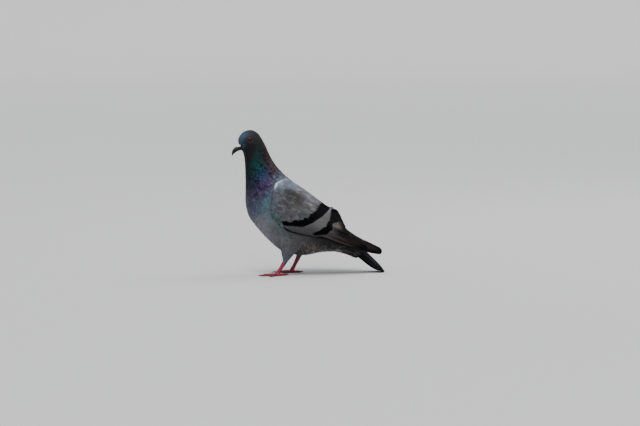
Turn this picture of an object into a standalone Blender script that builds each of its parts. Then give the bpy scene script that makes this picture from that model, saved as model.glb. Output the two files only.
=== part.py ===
"""A standing feral pigeon, life size, as separate solids.

The bird faces -Y, its left side is +X and +Z is up.  All sizes below are in
millimetres and are turned into metres when a mesh is made.
"""

import math

import bmesh
import bpy
from mathutils import Matrix, Vector

MM = 0.001
GAP = 0.3  # between neighbouring pieces
CUT_GAP = 0.55  # growth of a cutter across a slanted section, for a true gap of about 0.3

# Driving sizes
EYE_PLACE = (9.6, -94.4, 207.0)
EYE_RADII = (3.4, 4.5, 4.5)  # across the head, along it, up
BILL_BASE = (0.0, -105.4, 194.3)
BILL_SLOPE = math.radians(6)  # below level, at the base
BILL_BEND = math.radians(2.9)  # more slope for each millimetre
BILL_LEAN = math.radians(27)  # of its base, which lies along the head
BILL_LEAN_BEND = math.radians(1.5)  # more lean for each millimetre
BILL_LENGTH = 18.4
LOWER_BILL_LENGTH = 16.4
CERE_LENGTH = 7.2
FOOT_SPREAD = 22.0  # each foot from the middle
LEFT_LEG = {"y": -54.6, "lean": math.radians(34), "hem": 20.5}  # half a step ahead
RIGHT_LEG = {"y": -20.8, "lean": math.radians(27), "hem": 24.0}  # hem: end of the feathers
TARSUS_RADIUS = 2.5
FOOT_HEIGHT = 4.6  # of the joint over the toes
TOE_RADIUS = 1.95
PAD_RADIUS = 5.0  # of the sole that the toes grow from
CLAW_LENGTH = 5.8
TAIL_THICKNESS = 2.4
TAIL_TIP_HEIGHT = 0.8  # of the tip, which lies flat on the floor

RING_POINTS = 28
HEAD_END, NECK_END, BODY_END = 5.7, 9.9, 19.0  # stations of the cuts

# Sections of head, neck and trunk, front to back:
# back line y, z; belly line y, z; half width; squareness; height of the widest place
BODY_SECTIONS = (
    (-107.9, 199.2, -103.3, 190.2, 4.8, 2.0, 0.50),  # bill base
    (-110.8, 205.4, -101.8, 186.2, 7.4, 2.0, 0.54),  # forehead
    (-107.8, 213.6, -100.6, 181.4, 9.5, 2.0, 0.60),
    (-100.6, 219.6, -100.2, 176.4, 11.2, 2.0, 0.64),  # fore crown
    (-90.0, 221.4, -100.0, 171.0, 12.3, 2.0, 0.64),  # crown, over the eye
    (-80.4, 216.6, -99.8, 165.0, 12.8, 2.0, 0.62),
    (-73.8, 207.6, -99.6, 158.6, 13.6, 2.0, 0.58),  # back of the head
    (-67.4, 195.6, -99.4, 150.6, 15.0, 2.0, 0.54),
    (-61.0, 181.8, -99.2, 141.0, 17.2, 2.0, 0.50),  # mid neck
    (-52.0, 167.2, -99.2, 127.6, 22.4, 2.0, 0.50),
    (-41.0, 155.4, -98.8, 109.4, 29.4, 2.0, 0.48),  # base of the neck
    (-26.5, 143.0, -93.6, 89.8, 35.0, 2.0, 0.46),  # shoulders and crop
    (-8.5, 129.6, -80.4, 71.6, 38.0, 2.0, 0.46),
    (11.0, 112.4, -62.6, 52.4, 38.6, 2.0, 0.48),  # breast
    (30.0, 95.6, -42.6, 36.6, 37.0, 2.1, 0.48),
    (46.0, 80.4, -14.0, 29.2, 32.4, 2.1, 0.46),  # belly
    (58.0, 67.6, 18.0, 33.0, 26.0, 2.0, 0.46),
    (68.0, 57.0, 43.0, 32.8, 19.6, 2.0, 0.46),  # vent
    (77.0, 47.4, 61.0, 28.0, 15.4, 2.0, 0.46),
    (84.5, 38.6, 75.0, 22.0, 12.6, 2.0, 0.46),  # end of the tail coverts
)

# Sections of the folded wing, wrist to tip:
# upper edge x, y, z; middle x, y, z; lower edge x, y, z; thickness
WING_SECTIONS = (
    (28.0, -57.0, 143.0, 39.8, -68.5, 114.0, 35.8, -64.0, 87.0, 1.4),  # wrist
    (21.5, -41.0, 147.0, 45.4, -50.0, 105.0, 41.2, -44.0, 70.4, 6.4),
    (15.0, -12.0, 131.4, 47.2, -19.0, 92.6, 42.0, -15.0, 63.4, 8.4),
    (11.5, 10.0, 116.0, 46.2, 7.0, 80.6, 40.0, 12.0, 57.0, 8.0),
    (8.0, 30.0, 102.6, 42.2, 30.0, 70.2, 36.0, 33.0, 49.4, 7.2),
    (5.5, 46.0, 94.6, 35.8, 50.0, 60.8, 30.4, 54.0, 42.4, 6.0),  # tertials
    (5.5, 54.5, 76.4, 29.0, 66.0, 51.6, 25.6, 72.0, 37.4, 4.8),
    (9.6, 76.0, 56.4, 24.2, 85.0, 43.0, 21.8, 89.0, 33.2, 3.8),  # primaries
    (13.0, 96.0, 45.6, 21.0, 101.0, 36.8, 19.4, 103.0, 29.8, 3.0),
    (15.6, 110.0, 38.6, 18.4, 111.6, 33.4, 17.6, 109.6, 28.6, 1.4),  # tip
)
WING_SPLIT = 4.6  # station where the coverts end and the flight feathers go on
WING_EDGE = 1.2  # least thickness of a wing
FEATHER_STEP = 0.55  # height of the steps between folded flight feathers

# Tail, base to tip: ridge y, z; outer edge x, y, z
TAIL_SECTIONS = (
    (62.0, 61.0, 13.0, 58.0, 33.5),
    (80.0, 43.6, 16.5, 75.0, 24.2),
    (98.0, 26.6, 18.4, 93.0, 14.2),
    (113.0, 11.8, 17.6, 108.0, 6.2),
    (120.6, 1.2, 15.0, 116.6, 1.4),
)


def catmullRom(rows, station):
    """The row at a station between the given ones, each column on a smooth curve."""
    low = min(int(station), len(rows) - 2)
    share = station - low
    picked = [rows[min(max(low + step, 0), len(rows) - 1)] for step in (-1, 0, 1, 2)]
    return [
        0.5
        * (
            2 * b
            + (c - a) * share
            + (2 * a - 5 * b + 4 * c - d) * share**2
            + (3 * b - a - 3 * c + d) * share**3
        )
        for a, b, c, d in zip(*picked)
    ]


def stations(first, last, step):
    """Evenly spaced stations from first to last, both included."""
    count = max(2, round((last - first) / step) + 1)
    return [first + (last - first) * i / (count - 1) for i in range(count)]


def material(name, colour, roughness, metallic=0.0):
    made = bpy.data.materials.new(name)
    made.use_nodes = True
    shader = made.node_tree.nodes["Principled BSDF"]
    shader.inputs["Base Color"].default_value = (*colour, 1.0)
    shader.inputs["Roughness"].default_value = roughness
    shader.inputs["Metallic"].default_value = metallic
    return made


def newObject(name, bm, finish):
    """Turns a bmesh in millimetres into an object in metres, smooth but for sharp edges."""
    bmesh.ops.recalc_face_normals(bm, faces=bm.faces)
    bmesh.ops.scale(bm, vec=(MM, MM, MM), verts=bm.verts)
    mesh = bpy.data.meshes.new(name)
    bm.to_mesh(mesh)
    bm.free()
    mesh.shade_smooth()
    mesh.set_sharp_from_angle(angle=math.radians(50))
    made = bpy.data.objects.new(name, mesh)
    made.data.materials.append(finish)
    bpy.context.scene.collection.objects.link(made)
    return made


def loft(name, rings, finish):
    """A closed solid through rings of points, each end closed by cross strips.

    Point i of a ring faces point -1-i, so that a bent blade closes as well as a tube.
    """
    bm = bmesh.new()
    loops = [[bm.verts.new(point) for point in ring] for ring in rings]
    for near, far in zip(loops, loops[1:]):
        for i in range(len(near)):
            j = (i + 1) % len(near)
            bm.faces.new((near[i], near[j], far[j], far[i]))
    for loop in (loops[0], loops[-1]):
        for i in range(len(loop) // 2 - 1):
            bm.faces.new((loop[i], loop[i + 1], loop[-2 - i], loop[-1 - i]))
    return newObject(name, bm, finish)


def mirrored(source, name):
    """A copy of a left piece for the right side."""
    mesh = source.data.copy()
    mesh.transform(Matrix.Scale(-1, 4, (1, 0, 0)))
    mesh.flip_normals()
    made = bpy.data.objects.new(name, mesh)
    bpy.context.scene.collection.objects.link(made)
    return made


def cut(piece, cutter):
    modifier = piece.modifiers.new("Cut", "BOOLEAN")
    modifier.operation = "DIFFERENCE"
    modifier.solver = "EXACT"
    modifier.object = cutter


def asCutter(helper):
    helper.hide_render = True
    helper.display_type = "WIRE"
    return helper


# ---------------------------------------------------------------- body


def superEllipse(angle, power):
    """(side, up) on a rounded square of half size 1."""
    side, up = math.sin(angle), math.cos(angle)
    return (
        math.copysign(abs(side) ** (2 / power), side),
        math.copysign(abs(up) ** (2 / power), up),
    )


def bodyRing(station, grow=0.0):
    """The outline of head, neck or trunk at a station, in its own slanted plane."""
    backY, backZ, bellyY, bellyZ, halfWidth, power, widest = catmullRom(
        BODY_SECTIONS, station
    )
    back, belly = Vector((0, backY, backZ)), Vector((0, bellyY, bellyZ))
    height = (back - belly).length
    up = (back - belly) / height
    centre = belly + up * height * widest
    ring = []
    for i in range(RING_POINTS):
        side, rise = superEllipse(2 * math.pi * i / RING_POINTS, power)
        reach = height * (1 - widest if rise > 0 else widest) + grow
        ring.append(centre + Vector((side * (halfWidth + grow), 0, 0)) + up * rise * reach)
    return ring


def bodyLoft(name, first, last, step, finish, grow=0.0):
    return loft(name, [bodyRing(s, grow) for s in stations(first, last, step)], finish)


def ellipsoid(name, place, radii, finish, segments=14, rings=9):
    bm = bmesh.new()
    bmesh.ops.create_uvsphere(bm, u_segments=segments, v_segments=rings, radius=1)
    bmesh.ops.rotate(bm, verts=bm.verts, matrix=Matrix.Rotation(math.pi / 2, 3, "Y"))
    bmesh.ops.scale(bm, verts=bm.verts, vec=radii)
    bmesh.ops.translate(bm, verts=bm.verts, vec=place)
    return newObject(name, bm, finish)


def makeHead(finish, eyeFinish):
    head = bodyLoft("head", 0.0, HEAD_END, 0.48, finish)
    for side, sign in (("left", 1), ("right", -1)):
        place = (sign * EYE_PLACE[0], EYE_PLACE[1], EYE_PLACE[2])
        ellipsoid("eye_" + side, place, EYE_RADII, eyeFinish)
        socket = [radius + GAP for radius in EYE_RADII]
        cut(head, asCutter(ellipsoid("socket_" + side, place, socket, finish)))
    return head


# ---------------------------------------------------------------- bill


def alongBill(reach, rise, side):
    """A point at a distance along the bill's arc, a rise over its mouth line and a side."""
    lean = BILL_LEAN + BILL_LEAN_BEND * reach
    middle = BILL_SLOPE + BILL_BEND * reach / 2
    forward = Vector((0, -math.cos(middle), -math.sin(middle)))
    up = Vector((0, -math.sin(lean), math.cos(lean)))
    return Vector(BILL_BASE) + forward * reach + up * rise + Vector((side, 0, 0))


def billSolid(name, length, edgeLine, outerLine, halfWidths, finish):
    """Half a bill: flat along the mouth and rounded outside, base to tip."""
    rings = []
    for i in range(9):
        share = i / 8
        edge = catmullRom(edgeLine, share * (len(edgeLine) - 1))[0]
        outer = catmullRom(outerLine, share * (len(outerLine) - 1))[0]
        halfWidth = catmullRom(halfWidths, share * (len(halfWidths) - 1))[0]
        ring = []
        for k in range(7):  # the rounded side
            angle = math.pi * k / 6
            rise = edge + (outer - edge) * math.sin(angle) ** 0.9
            ring.append(alongBill(GAP + share * length, rise, halfWidth * math.cos(angle)))
        for k in (1, 2, 3):  # the mouth side
            side = halfWidth * (k / 2 - 1)
            ring.append(alongBill(GAP + share * length, edge, side))
        rings.append(ring)
    return loft(name, rings, finish)


UPPER_EDGE = ((0.0,), (0.2,), (0.2,), (0.0,), (-1.9,))
UPPER_OUTER = ((2.7,), (3.6,), (3.3,), (1.9,), (-0.9,))
UPPER_HALF_WIDTHS = ((4.1,), (3.4,), (2.8,), (2.1,), (0.45,))
LOWER_EDGE = ((-0.35,), (-0.2,), (-0.2,), (-0.45,), (-1.05,))
LOWER_OUTER = ((-2.7,), (-2.1,), (-1.8,), (-1.7,), (-1.5,))
LOWER_HALF_WIDTHS = ((3.8,), (3.0,), (2.3,), (1.6,), (0.5,))


def makeCere(finish):
    """The two soft swellings over the nostrils, one saddle on the upper bill."""
    rings = []
    for i in range(8):
        share = i / 7
        along = share * CERE_LENGTH / BILL_LENGTH * (len(UPPER_OUTER) - 1)
        base = catmullRom(UPPER_OUTER, along)[0] + 0.45
        halfWidth = catmullRom(UPPER_HALF_WIDTHS, along)[0] + 0.45
        swell = 0.25 + 2.2 * math.sin(math.pi * (0.12 + 0.8 * share)) ** 0.8
        inner, outer = [], []
        for k in range(11):
            angle = math.pi * (0.14 + 0.72 * k / 10)
            twoLobes = 0.72 + 0.28 * math.cos(2 * (angle - math.pi / 2) * 1.9 + math.pi)
            ends = math.sin(math.pi * (0.08 + 0.84 * k / 10)) ** 0.6
            thick = 0.5 + swell * twoLobes * ends
            side, rise = math.cos(angle), math.sin(angle) ** 0.9
            reach = GAP + share * CERE_LENGTH
            inner.append(alongBill(reach, base * rise, halfWidth * side))
            outer.append(
                alongBill(
                    reach, base * rise + thick * rise, (halfWidth + 0.55 * thick) * side
                )
            )
        rings.append(outer + inner[::-1])
    return loft("cere", rings, finish)


# ---------------------------------------------------------------- wings


def wingPoint(station, share):
    """A point on the wing's outer face: share 0 is the upper edge, 1 the lower."""
    row = catmullRom(WING_SECTIONS, station)
    upper, middle, lower = Vector(row[0:3]), Vector(row[3:6]), Vector(row[6:9])
    return (
        upper * (1 - share) * (1 - 2 * share)
        + middle * 4 * share * (1 - share)
        + lower * share * (2 * share - 1)
    )


def wingNormal(station, share):
    last = len(WING_SECTIONS) - 1
    ahead, behind = min(station + 0.05, last), max(station - 0.05, 0)
    along = wingPoint(ahead, share) - wingPoint(behind, share)
    across = wingPoint(station, min(share + 0.03, 1)) - wingPoint(
        station, max(share - 0.03, 0)
    )
    return across.cross(along).normalized()


def wingRing(station, columns, steps):
    thickness = catmullRom(WING_SECTIONS, station)[9]
    outer, inner = [], []
    for i in range(columns + 1):
        share = i / columns
        point, normal = wingPoint(station, share), wingNormal(station, share)
        edge = min(WING_EDGE, thickness)
        depth = edge + (thickness - edge) * math.sin(math.pi * share) ** 0.7
        sunk = steps * FEATHER_STEP if i % 2 else 0.0
        outer.append(point - normal * min(sunk, 0.3 * depth))
        inner.append(point - normal * depth)
    return outer + inner[::-1]


def wingLoft(name, first, last, step, columns, finish, stepped):
    """A length of wing; folded flight feathers show as steps that fade in."""
    rings = []
    for s in stations(first, last, step):
        steps = min(1.0, (s - first) / 0.8) if stepped else 0.0
        rings.append(wingRing(s, columns, steps))
    return loft(name, rings, finish)


# ---------------------------------------------------------------- tail


def tailRing(station, columns):
    ridgeY, ridgeZ, edgeX, edgeY, edgeZ = catmullRom(TAIL_SECTIONS, station)
    ridge, edge = Vector((0, ridgeY, ridgeZ)), Vector((0, edgeY, edgeZ))
    down = Vector((0, -0.62, -0.78))  # square to the feathers
    top, under = [], []
    for i in range(columns + 1):
        share = 2 * i / columns - 1
        bend = abs(share) ** 1.7
        point = ridge.lerp(edge, bend) + Vector((share * edgeX, 0, 0))
        thin = TAIL_THICKNESS * (1 - 0.12 * station) * (1 - 0.45 * abs(share))
        sunk = 0.3 if i % 2 else 0.0
        upper, lower = point + down * sunk, point + down * max(thin, 0.8)
        upper.z, lower.z = max(upper.z, TAIL_TIP_HEIGHT), max(lower.z, 0.0)
        top.append(upper)
        under.append(lower)
    return top + under[::-1]


# ---------------------------------------------------------------- legs


def tube(name, path, radii, finish, points, floor):
    """A round solid along a path of points, flat underneath at the height of the floor."""
    rings = []
    for i, centre in enumerate(path):
        before, after = path[max(i - 1, 0)], path[min(i + 1, len(path) - 1)]
        along = (after - before).normalized()
        side = along.cross(Vector((0, 0, 1)))
        side = Vector((1, 0, 0)) if side.length < 0.2 else side.normalized()
        up = side.cross(along).normalized()
        ring = []
        for k in range(points):
            angle = 2 * math.pi * (k + 0.5) / points
            point = (
                centre
                + side * radii[i] * math.cos(angle)
                + up * radii[i] * math.sin(angle)
            )
            point.z = max(point.z, floor)
            ring.append(point)
        rings.append(ring)
    return loft(name, rings, finish)


# name: length, turn outwards from straight ahead in degrees, joints
TOES = {
    "inner": (12.5, -36, 2),
    "middle": (20.0, 2, 3),
    "outer": (14.0, 44, 4),
    "hind": (6.8, 188, 1),
}
TOE_ROOT = PAD_RADIUS + GAP + 0.1  # from the middle of the foot


def makeToe(foot, side, name, toeFinish, clawFinish):
    length, turn, joints = TOES[name]
    sign = 1 if side == "left" else -1
    angle = math.radians(turn)
    ahead = Vector((sign * math.sin(angle), -math.cos(angle), 0))
    path, radii = [], []
    count = 3 * joints + 2
    for i in range(count + 1):
        share = i / count
        pad = 0.5 + 0.5 * math.cos(2 * math.pi * share * (joints + 0.5))
        neck = min(1.0, 0.78 + length * share * 0.08)  # narrow where the toes meet
        radius = TOE_RADIUS * (1 - 0.26 * share) * (0.86 + 0.14 * pad) * neck
        lift = 0.7 * (1 - share) ** 3  # rises to the joint of the foot
        place = Vector(foot) + ahead * (TOE_ROOT + length * share)
        place.z = radius * 0.86 + lift
        path.append(place)
        radii.append(radius)
    tube(f"toe_{side}_{name}", path, radii, toeFinish, points=10, floor=0.0)
    tip, claw, clawRadii = path[-1] + ahead * 2 * GAP, [], []
    for i in range(5):
        share = i / 4
        place = tip + ahead * CLAW_LENGTH * share
        place.z = tip.z + 0.35 + 0.9 * math.sin(math.pi * share) - 0.9 * share
        claw.append(place)
        clawRadii.append(1.15 * (1 - 0.86 * share**1.2))
    tube(f"claw_{side}_{name}", claw, clawRadii, clawFinish, points=8, floor=0.0)


def legLine(side, leg, height):
    """The middle of the bare leg at a height over the floor."""
    sign = 1 if side == "left" else -1
    run = math.tan(leg["lean"]) * (height - FOOT_HEIGHT)
    return Vector((sign * FOOT_SPREAD, leg["y"] + run, height))


def makeFoot(side, leg, finishes):
    foot = legLine(side, leg, FOOT_HEIGHT)
    for name in TOES:
        makeToe(foot, side, name, finishes["leg"], finishes["claw"])
    # the sole that the toes meet at, with the bare leg rising from it
    path, radii = [], []
    for height, share in ((0.0, 0.86), (0.9, 1.0), (2.2, 1.0), (3.4, 0.86), (4.4, 0.66)):
        path.append(Vector((foot.x, foot.y, height)))
        radii.append(PAD_RADIUS * share)
    top = leg["hem"] - GAP
    for i in range(7):
        share = i / 6
        path.append(legLine(side, leg, 6.0 + (top - 6.0) * share))
        radii.append(TARSUS_RADIUS * (1.2 - 0.3 * math.sin(math.pi * min(1, 0.15 + share))))
    tube("tarsus_" + side, path, radii, finishes["leg"], points=10, floor=0.0)


def makeThigh(side, leg, finish, cutter):
    """The feathered upper leg, from the flank down over the hock."""
    hem = legLine(side, leg, leg["hem"])
    hock = hem + Vector((0, 2.8, 6.5))
    root = hem + Vector((0, 13.0, 34.0))
    rings = []
    stages = (  # centre, half depth along the body, half width, lean of the section
        (hem, 3.4, 3.2, -leg["lean"]),
        (hem.lerp(hock, 0.5), 4.4, 4.2, -0.5 * leg["lean"]),
        (hock, 6.4, 6.0, -0.1),
        (hock.lerp(root, 0.34), 12.0, 9.4, 0.0),
        (hock.lerp(root, 0.68), 18.0, 12.4, -0.1),
        (root, 21.0, 13.4, -0.25),
    )
    columns = [
        (*centre, depth, width, lean) for centre, depth, width, lean in stages
    ]
    for s in stations(0.0, len(stages) - 1.0, 0.5):
        x, y, z, depth, width, lean = catmullRom(columns, s)
        along = Vector((0, math.cos(lean), math.sin(lean)))
        ring = []
        for k in range(16):
            angle = 2 * math.pi * k / 16
            ring.append(
                Vector((x, y, z))
                + Vector((width * math.cos(angle), 0, 0))
                + along * depth * math.sin(angle)
            )
        rings.append(ring)
    thigh = loft("thigh_" + side, rings, finish)
    cut(thigh, cutter)
    return thigh


# ---------------------------------------------------------------- whole bird


def main():
    for old in list(bpy.data.objects):
        bpy.data.objects.remove(old)
    finishes = {
        "headFeather": material("head_feather", (0.055, 0.075, 0.095), 0.6),
        "neckFeather": material("neck_feather", (0.03, 0.075, 0.07), 0.4, 0.2),
        "bodyFeather": material("body_feather", (0.17, 0.18, 0.2), 0.7),
        "covert": material("covert_feather", (0.27, 0.26, 0.27), 0.7),
        "flight": material("flight_feather", (0.045, 0.04, 0.04), 0.6),
        "bill": material("bill_horn", (0.02, 0.02, 0.022), 0.4),
        "cere": material("cere_skin", (0.72, 0.7, 0.68), 0.7),
        "eye": material("eye", (0.33, 0.05, 0.02), 0.1),
        "leg": material("leg_skin", (0.36, 0.03, 0.06), 0.5),
        "claw": material("claw_horn", (0.03, 0.025, 0.025), 0.4),
    }
    split = 2 * GAP / 14  # a cut's width in stations, which lie about 14 mm apart
    makeHead(finishes["headFeather"], finishes["eye"])
    bodyLoft("neck", HEAD_END + split, NECK_END, 0.6, finishes["neckFeather"])
    bodyLoft("trunk", NECK_END + split, BODY_END, 0.6, finishes["bodyFeather"])
    trunkCutter = asCutter(
        bodyLoft("trunk_cutter", 8.6, BODY_END, 0.6, finishes["bodyFeather"], CUT_GAP)
    )

    billSolid(
        "bill_upper", BILL_LENGTH, UPPER_EDGE, UPPER_OUTER, UPPER_HALF_WIDTHS, finishes["bill"]
    )
    billSolid(
        "bill_lower",
        LOWER_BILL_LENGTH,
        LOWER_EDGE,
        LOWER_OUTER,
        LOWER_HALF_WIDTHS,
        finishes["bill"],
    )
    makeCere(finishes["cere"])

    coverts = wingLoft("wing_left", 0.0, WING_SPLIT, 0.4, 11, finishes["covert"], False)
    flight = wingLoft(
        "flight_feathers_left", WING_SPLIT + 0.04, 9.0, 0.5, 14, finishes["flight"], True
    )
    for piece, name in ((coverts, "wing_right"), (flight, "flight_feathers_right")):
        for wing in (piece, mirrored(piece, name)):
            cut(wing, trunkCutter)

    tail = loft("tail", [tailRing(s, 12) for s in stations(0, 4, 0.66)], finishes["flight"])
    cut(tail, trunkCutter)

    for side, leg in (("left", LEFT_LEG), ("right", RIGHT_LEG)):
        makeFoot(side, leg, finishes)
        makeThigh(side, leg, finishes["bodyFeather"], trunkCutter)


main()
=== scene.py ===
import math

import bmesh
import bpy
import numpy as np
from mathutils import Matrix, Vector
from mathutils.bvhtree import BVHTree
from mathutils.kdtree import KDTree


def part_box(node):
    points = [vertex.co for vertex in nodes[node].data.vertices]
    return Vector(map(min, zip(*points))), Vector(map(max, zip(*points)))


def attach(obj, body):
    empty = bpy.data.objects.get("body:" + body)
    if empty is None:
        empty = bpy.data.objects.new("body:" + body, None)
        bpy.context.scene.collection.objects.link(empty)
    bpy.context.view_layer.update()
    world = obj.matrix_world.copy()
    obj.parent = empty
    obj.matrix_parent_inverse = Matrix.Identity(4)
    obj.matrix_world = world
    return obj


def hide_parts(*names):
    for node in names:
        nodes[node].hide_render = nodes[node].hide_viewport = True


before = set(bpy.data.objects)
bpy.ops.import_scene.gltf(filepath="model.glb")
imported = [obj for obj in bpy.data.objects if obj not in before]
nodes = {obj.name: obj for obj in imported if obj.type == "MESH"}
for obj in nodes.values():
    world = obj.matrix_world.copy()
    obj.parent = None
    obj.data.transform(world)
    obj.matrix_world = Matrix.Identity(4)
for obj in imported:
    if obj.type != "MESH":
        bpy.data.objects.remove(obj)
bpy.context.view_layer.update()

mm = 0.001
chance = np.random.default_rng(20)


def only(*objs):  # these selected and nothing else, the first one active
    if bpy.context.object and bpy.context.object.mode != "OBJECT":
        bpy.ops.object.mode_set(mode="OBJECT")
    bpy.ops.object.select_all(action="DESELECT")
    for obj in objs:
        obj.select_set(True)
    if objs:
        bpy.context.view_layer.objects.active = objs[0]


def added():  # the primitive just made, its place moved into its mesh
    obj = bpy.context.object
    bpy.ops.object.transform_apply(location=True, rotation=True, scale=True)
    return obj


def pick(obj, test):  # in edit mode, with the vertices that pass the test selected
    only(obj)
    bpy.ops.object.mode_set(mode="EDIT")
    bpy.ops.mesh.select_mode(type="VERT")
    bpy.ops.mesh.select_all(action="DESELECT")
    mesh = bmesh.from_edit_mesh(obj.data)
    for vert in mesh.verts:
        vert.select = bool(test(vert.co))
    mesh.select_flush(True)
    bmesh.update_edit_mesh(obj.data)


def applied(obj, kind, **settings):  # adds a modifier and applies it at once
    only(obj)
    modifier = obj.modifiers.new(kind.title(), kind)
    for key, value in settings.items():
        setattr(modifier, key, value)
    bpy.ops.object.modifier_apply(modifier=modifier.name)
    return obj


def rounded(obj, voxel, rounds, swell=0.0):  # rebuilt fine and round
    if swell:
        applied(obj, "DISPLACE", strength=swell * mm, mid_level=0.0)
    applied(obj, "REMESH", mode="VOXEL", voxel_size=voxel * mm)
    applied(obj, "SMOOTH", factor=0.5, iterations=rounds)
    return obj


def linked(name, data, place=(0, 0, 0), turn=(0, 0, 0)):  # a new object in the scene
    obj = bpy.data.objects.new(name, data)
    obj.location = place
    obj.rotation_euler = turn
    bpy.context.collection.objects.link(obj)
    return obj


def copyOf(*names):  # CAD nodes copied into one object, their loose triangles merged
    copies = [linked("copy_" + name, nodes[name].data.copy()) for name in names]
    for copy in copies:
        copy.data.materials.clear()
    only(*copies)
    if len(copies) > 1:
        bpy.ops.object.join()
    bpy.ops.object.mode_set(mode="EDIT")
    bpy.ops.mesh.select_all(action="SELECT")
    bpy.ops.mesh.remove_doubles(threshold=0.01 * mm)
    bpy.ops.object.mode_set(mode="OBJECT")
    return bpy.context.object


def readMesh(obj, key):  # "co" or "normal" of every vertex, one row each
    rows = np.empty(len(obj.data.vertices) * 3)
    obj.data.vertices.foreach_get(key, rows)
    return rows.reshape(-1, 3)


def pointsOf(obj):
    return readMesh(obj, "co")


def normalsOf(obj):
    return readMesh(obj, "normal")


def movePoints(obj, points):
    obj.data.vertices.foreach_set("co", np.asarray(points).ravel())
    obj.data.update()


def smoothed(obj, angle=60):
    only(obj)
    bpy.ops.object.shade_smooth_by_angle(angle=math.radians(angle))


def named(obj, name, finish, slot, *replaced):
    obj.name = name
    obj.data.name = name
    obj.data.materials.clear()
    obj.data.materials.append(finish)
    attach(obj, "root")
    if replaced:
        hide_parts(*replaced)
    return obj


def tone(*rgb):  # a screen colour as linear light
    return np.array([c / 255 / 12.92 if c <= 10 else ((c / 255 + 0.055) / 1.055) ** 2.4 for c in rgb])


class Wire:  # a socket that can be reckoned with
    def __init__(self, finish, socket):
        self.finish = finish
        self.socket = socket

    def maths(self, operation, *values):
        return self.finish.node("Math", {"operation": operation}, dict(enumerate(values)))

    def __add__(self, other):
        return self.maths("ADD", self, other)

    def __radd__(self, other):
        return self.maths("ADD", other, self)

    def __sub__(self, other):
        return self.maths("SUBTRACT", self, other)

    def __rsub__(self, other):
        return self.maths("SUBTRACT", other, self)

    def __mul__(self, other):
        return self.maths("MULTIPLY", self, other)

    def __rmul__(self, other):
        return self.maths("MULTIPLY", other, self)

    def __truediv__(self, other):
        return self.maths("DIVIDE", self, other)

    def sine(self):
        return self.maths("SINE", self)

    def size(self):
        return self.maths("ABSOLUTE", self)

    def fade(self, low, high):  # 0 below low, 1 above high
        smooth = {"interpolation_type": "SMOOTHSTEP"}
        return self.finish.node("MapRange", smooth, {0: self, 1: low, 2: high, 3: 0.0, 4: 1.0})


class Finish:  # a material and its nodes
    def __init__(self, name, **constants):
        self.material = bpy.data.materials.new(name)
        self.material.use_nodes = True
        self.tree = self.material.node_tree
        self.shader = self.tree.nodes["Principled BSDF"]
        for key, value in constants.items():
            self.shader.inputs[key.replace("_", " ")].default_value = value

    def node(self, kind, settings=None, sockets=None, output=0):
        made = self.tree.nodes.new("ShaderNode" + kind)
        for key, value in (settings or {}).items():
            if key == "stops":
                ramp = made.color_ramp
                while len(ramp.elements) < len(value):
                    ramp.elements.new(0.5)
                for element, (place, colour) in zip(ramp.elements, value):
                    element.position = place
                    element.color = (*colour, 1.0)
            else:
                setattr(made, key, value)
        for key, value in (sockets or {}).items():
            self.plug(value, made.inputs[key])
        return Wire(self, made.outputs[output])

    def plug(self, value, socket):
        if isinstance(value, Wire):
            self.tree.links.new(value.socket, socket)
        elif isinstance(value, (tuple, list, np.ndarray)):
            size = len(socket.default_value)
            socket.default_value = (*value, 1.0)[:size] if len(value) < size else tuple(value)
        else:
            socket.default_value = value

    def set(self, **values):
        for key, value in values.items():
            self.plug(value, self.shader.inputs[key.replace("_", " ")])

    def mix(self, factor, first, second, blend="MIX"):
        return self.node("Mix", {"data_type": "RGBA", "blend_type": blend},
                         {0: factor, 6: first, 7: second}, 2)

    def shaded(self, colour, shade):  # a colour made lighter or darker
        return self.mix(1.0, colour, self.node("CombineXYZ", {}, {0: shade, 1: shade, 2: shade}), "MULTIPLY")

    def attribute(self, name, output="Fac"):
        return self.node("Attribute", {"attribute_name": name}, {}, output)

    def place(self):
        return self.node("TexCoord", {}, {}, "Object")

    def parts(self, vector):
        split = self.tree.nodes.new("ShaderNodeSeparateXYZ")
        self.plug(vector, split.inputs[0])
        return [Wire(self, output) for output in split.outputs]

    def noise(self, scale, detail=3.0, vector=None, roughness=0.5):
        sockets = {"Vector": vector or self.place(), "Scale": scale, "Detail": detail, "Roughness": roughness}
        return self.node("TexNoise", {}, sockets, "Fac")

    def bump(self, height, strength, distance):
        self.set(Normal=self.node("Bump", {}, {"Height": height, "Strength": strength, "Distance": distance}))


studio = {
    "radius": 14.0,
    "sweep": (8, 0.30, 0.03, 2.0),  # steps of the rim's curve, its rise and its growth, and the wall's height
    "floorTone": (0.66, 0.655, 0.645),
    "worldTone": (0.82, 0.87, 0.94),
    "worldStrength": 0.62,
    "sun": {
        "from": (0.9, -0.75, 2.2),
        "strength": 2.6,
        "softness": math.radians(38),
        "tone": (1, 0.99, 0.97),
    },
    "lights": (  # name, place, size, watts, tone
        ("back box", (-0.6, 1.6, 1.9), 1.4, 14, (1.0, 0.985, 0.96)),
        ("side box", (2.9, -0.4, 1.3), 1.4, 9, (1.0, 0.99, 0.98)),
    ),
    "lookAt": (0.0, 0.0, 0.11),
}


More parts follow.
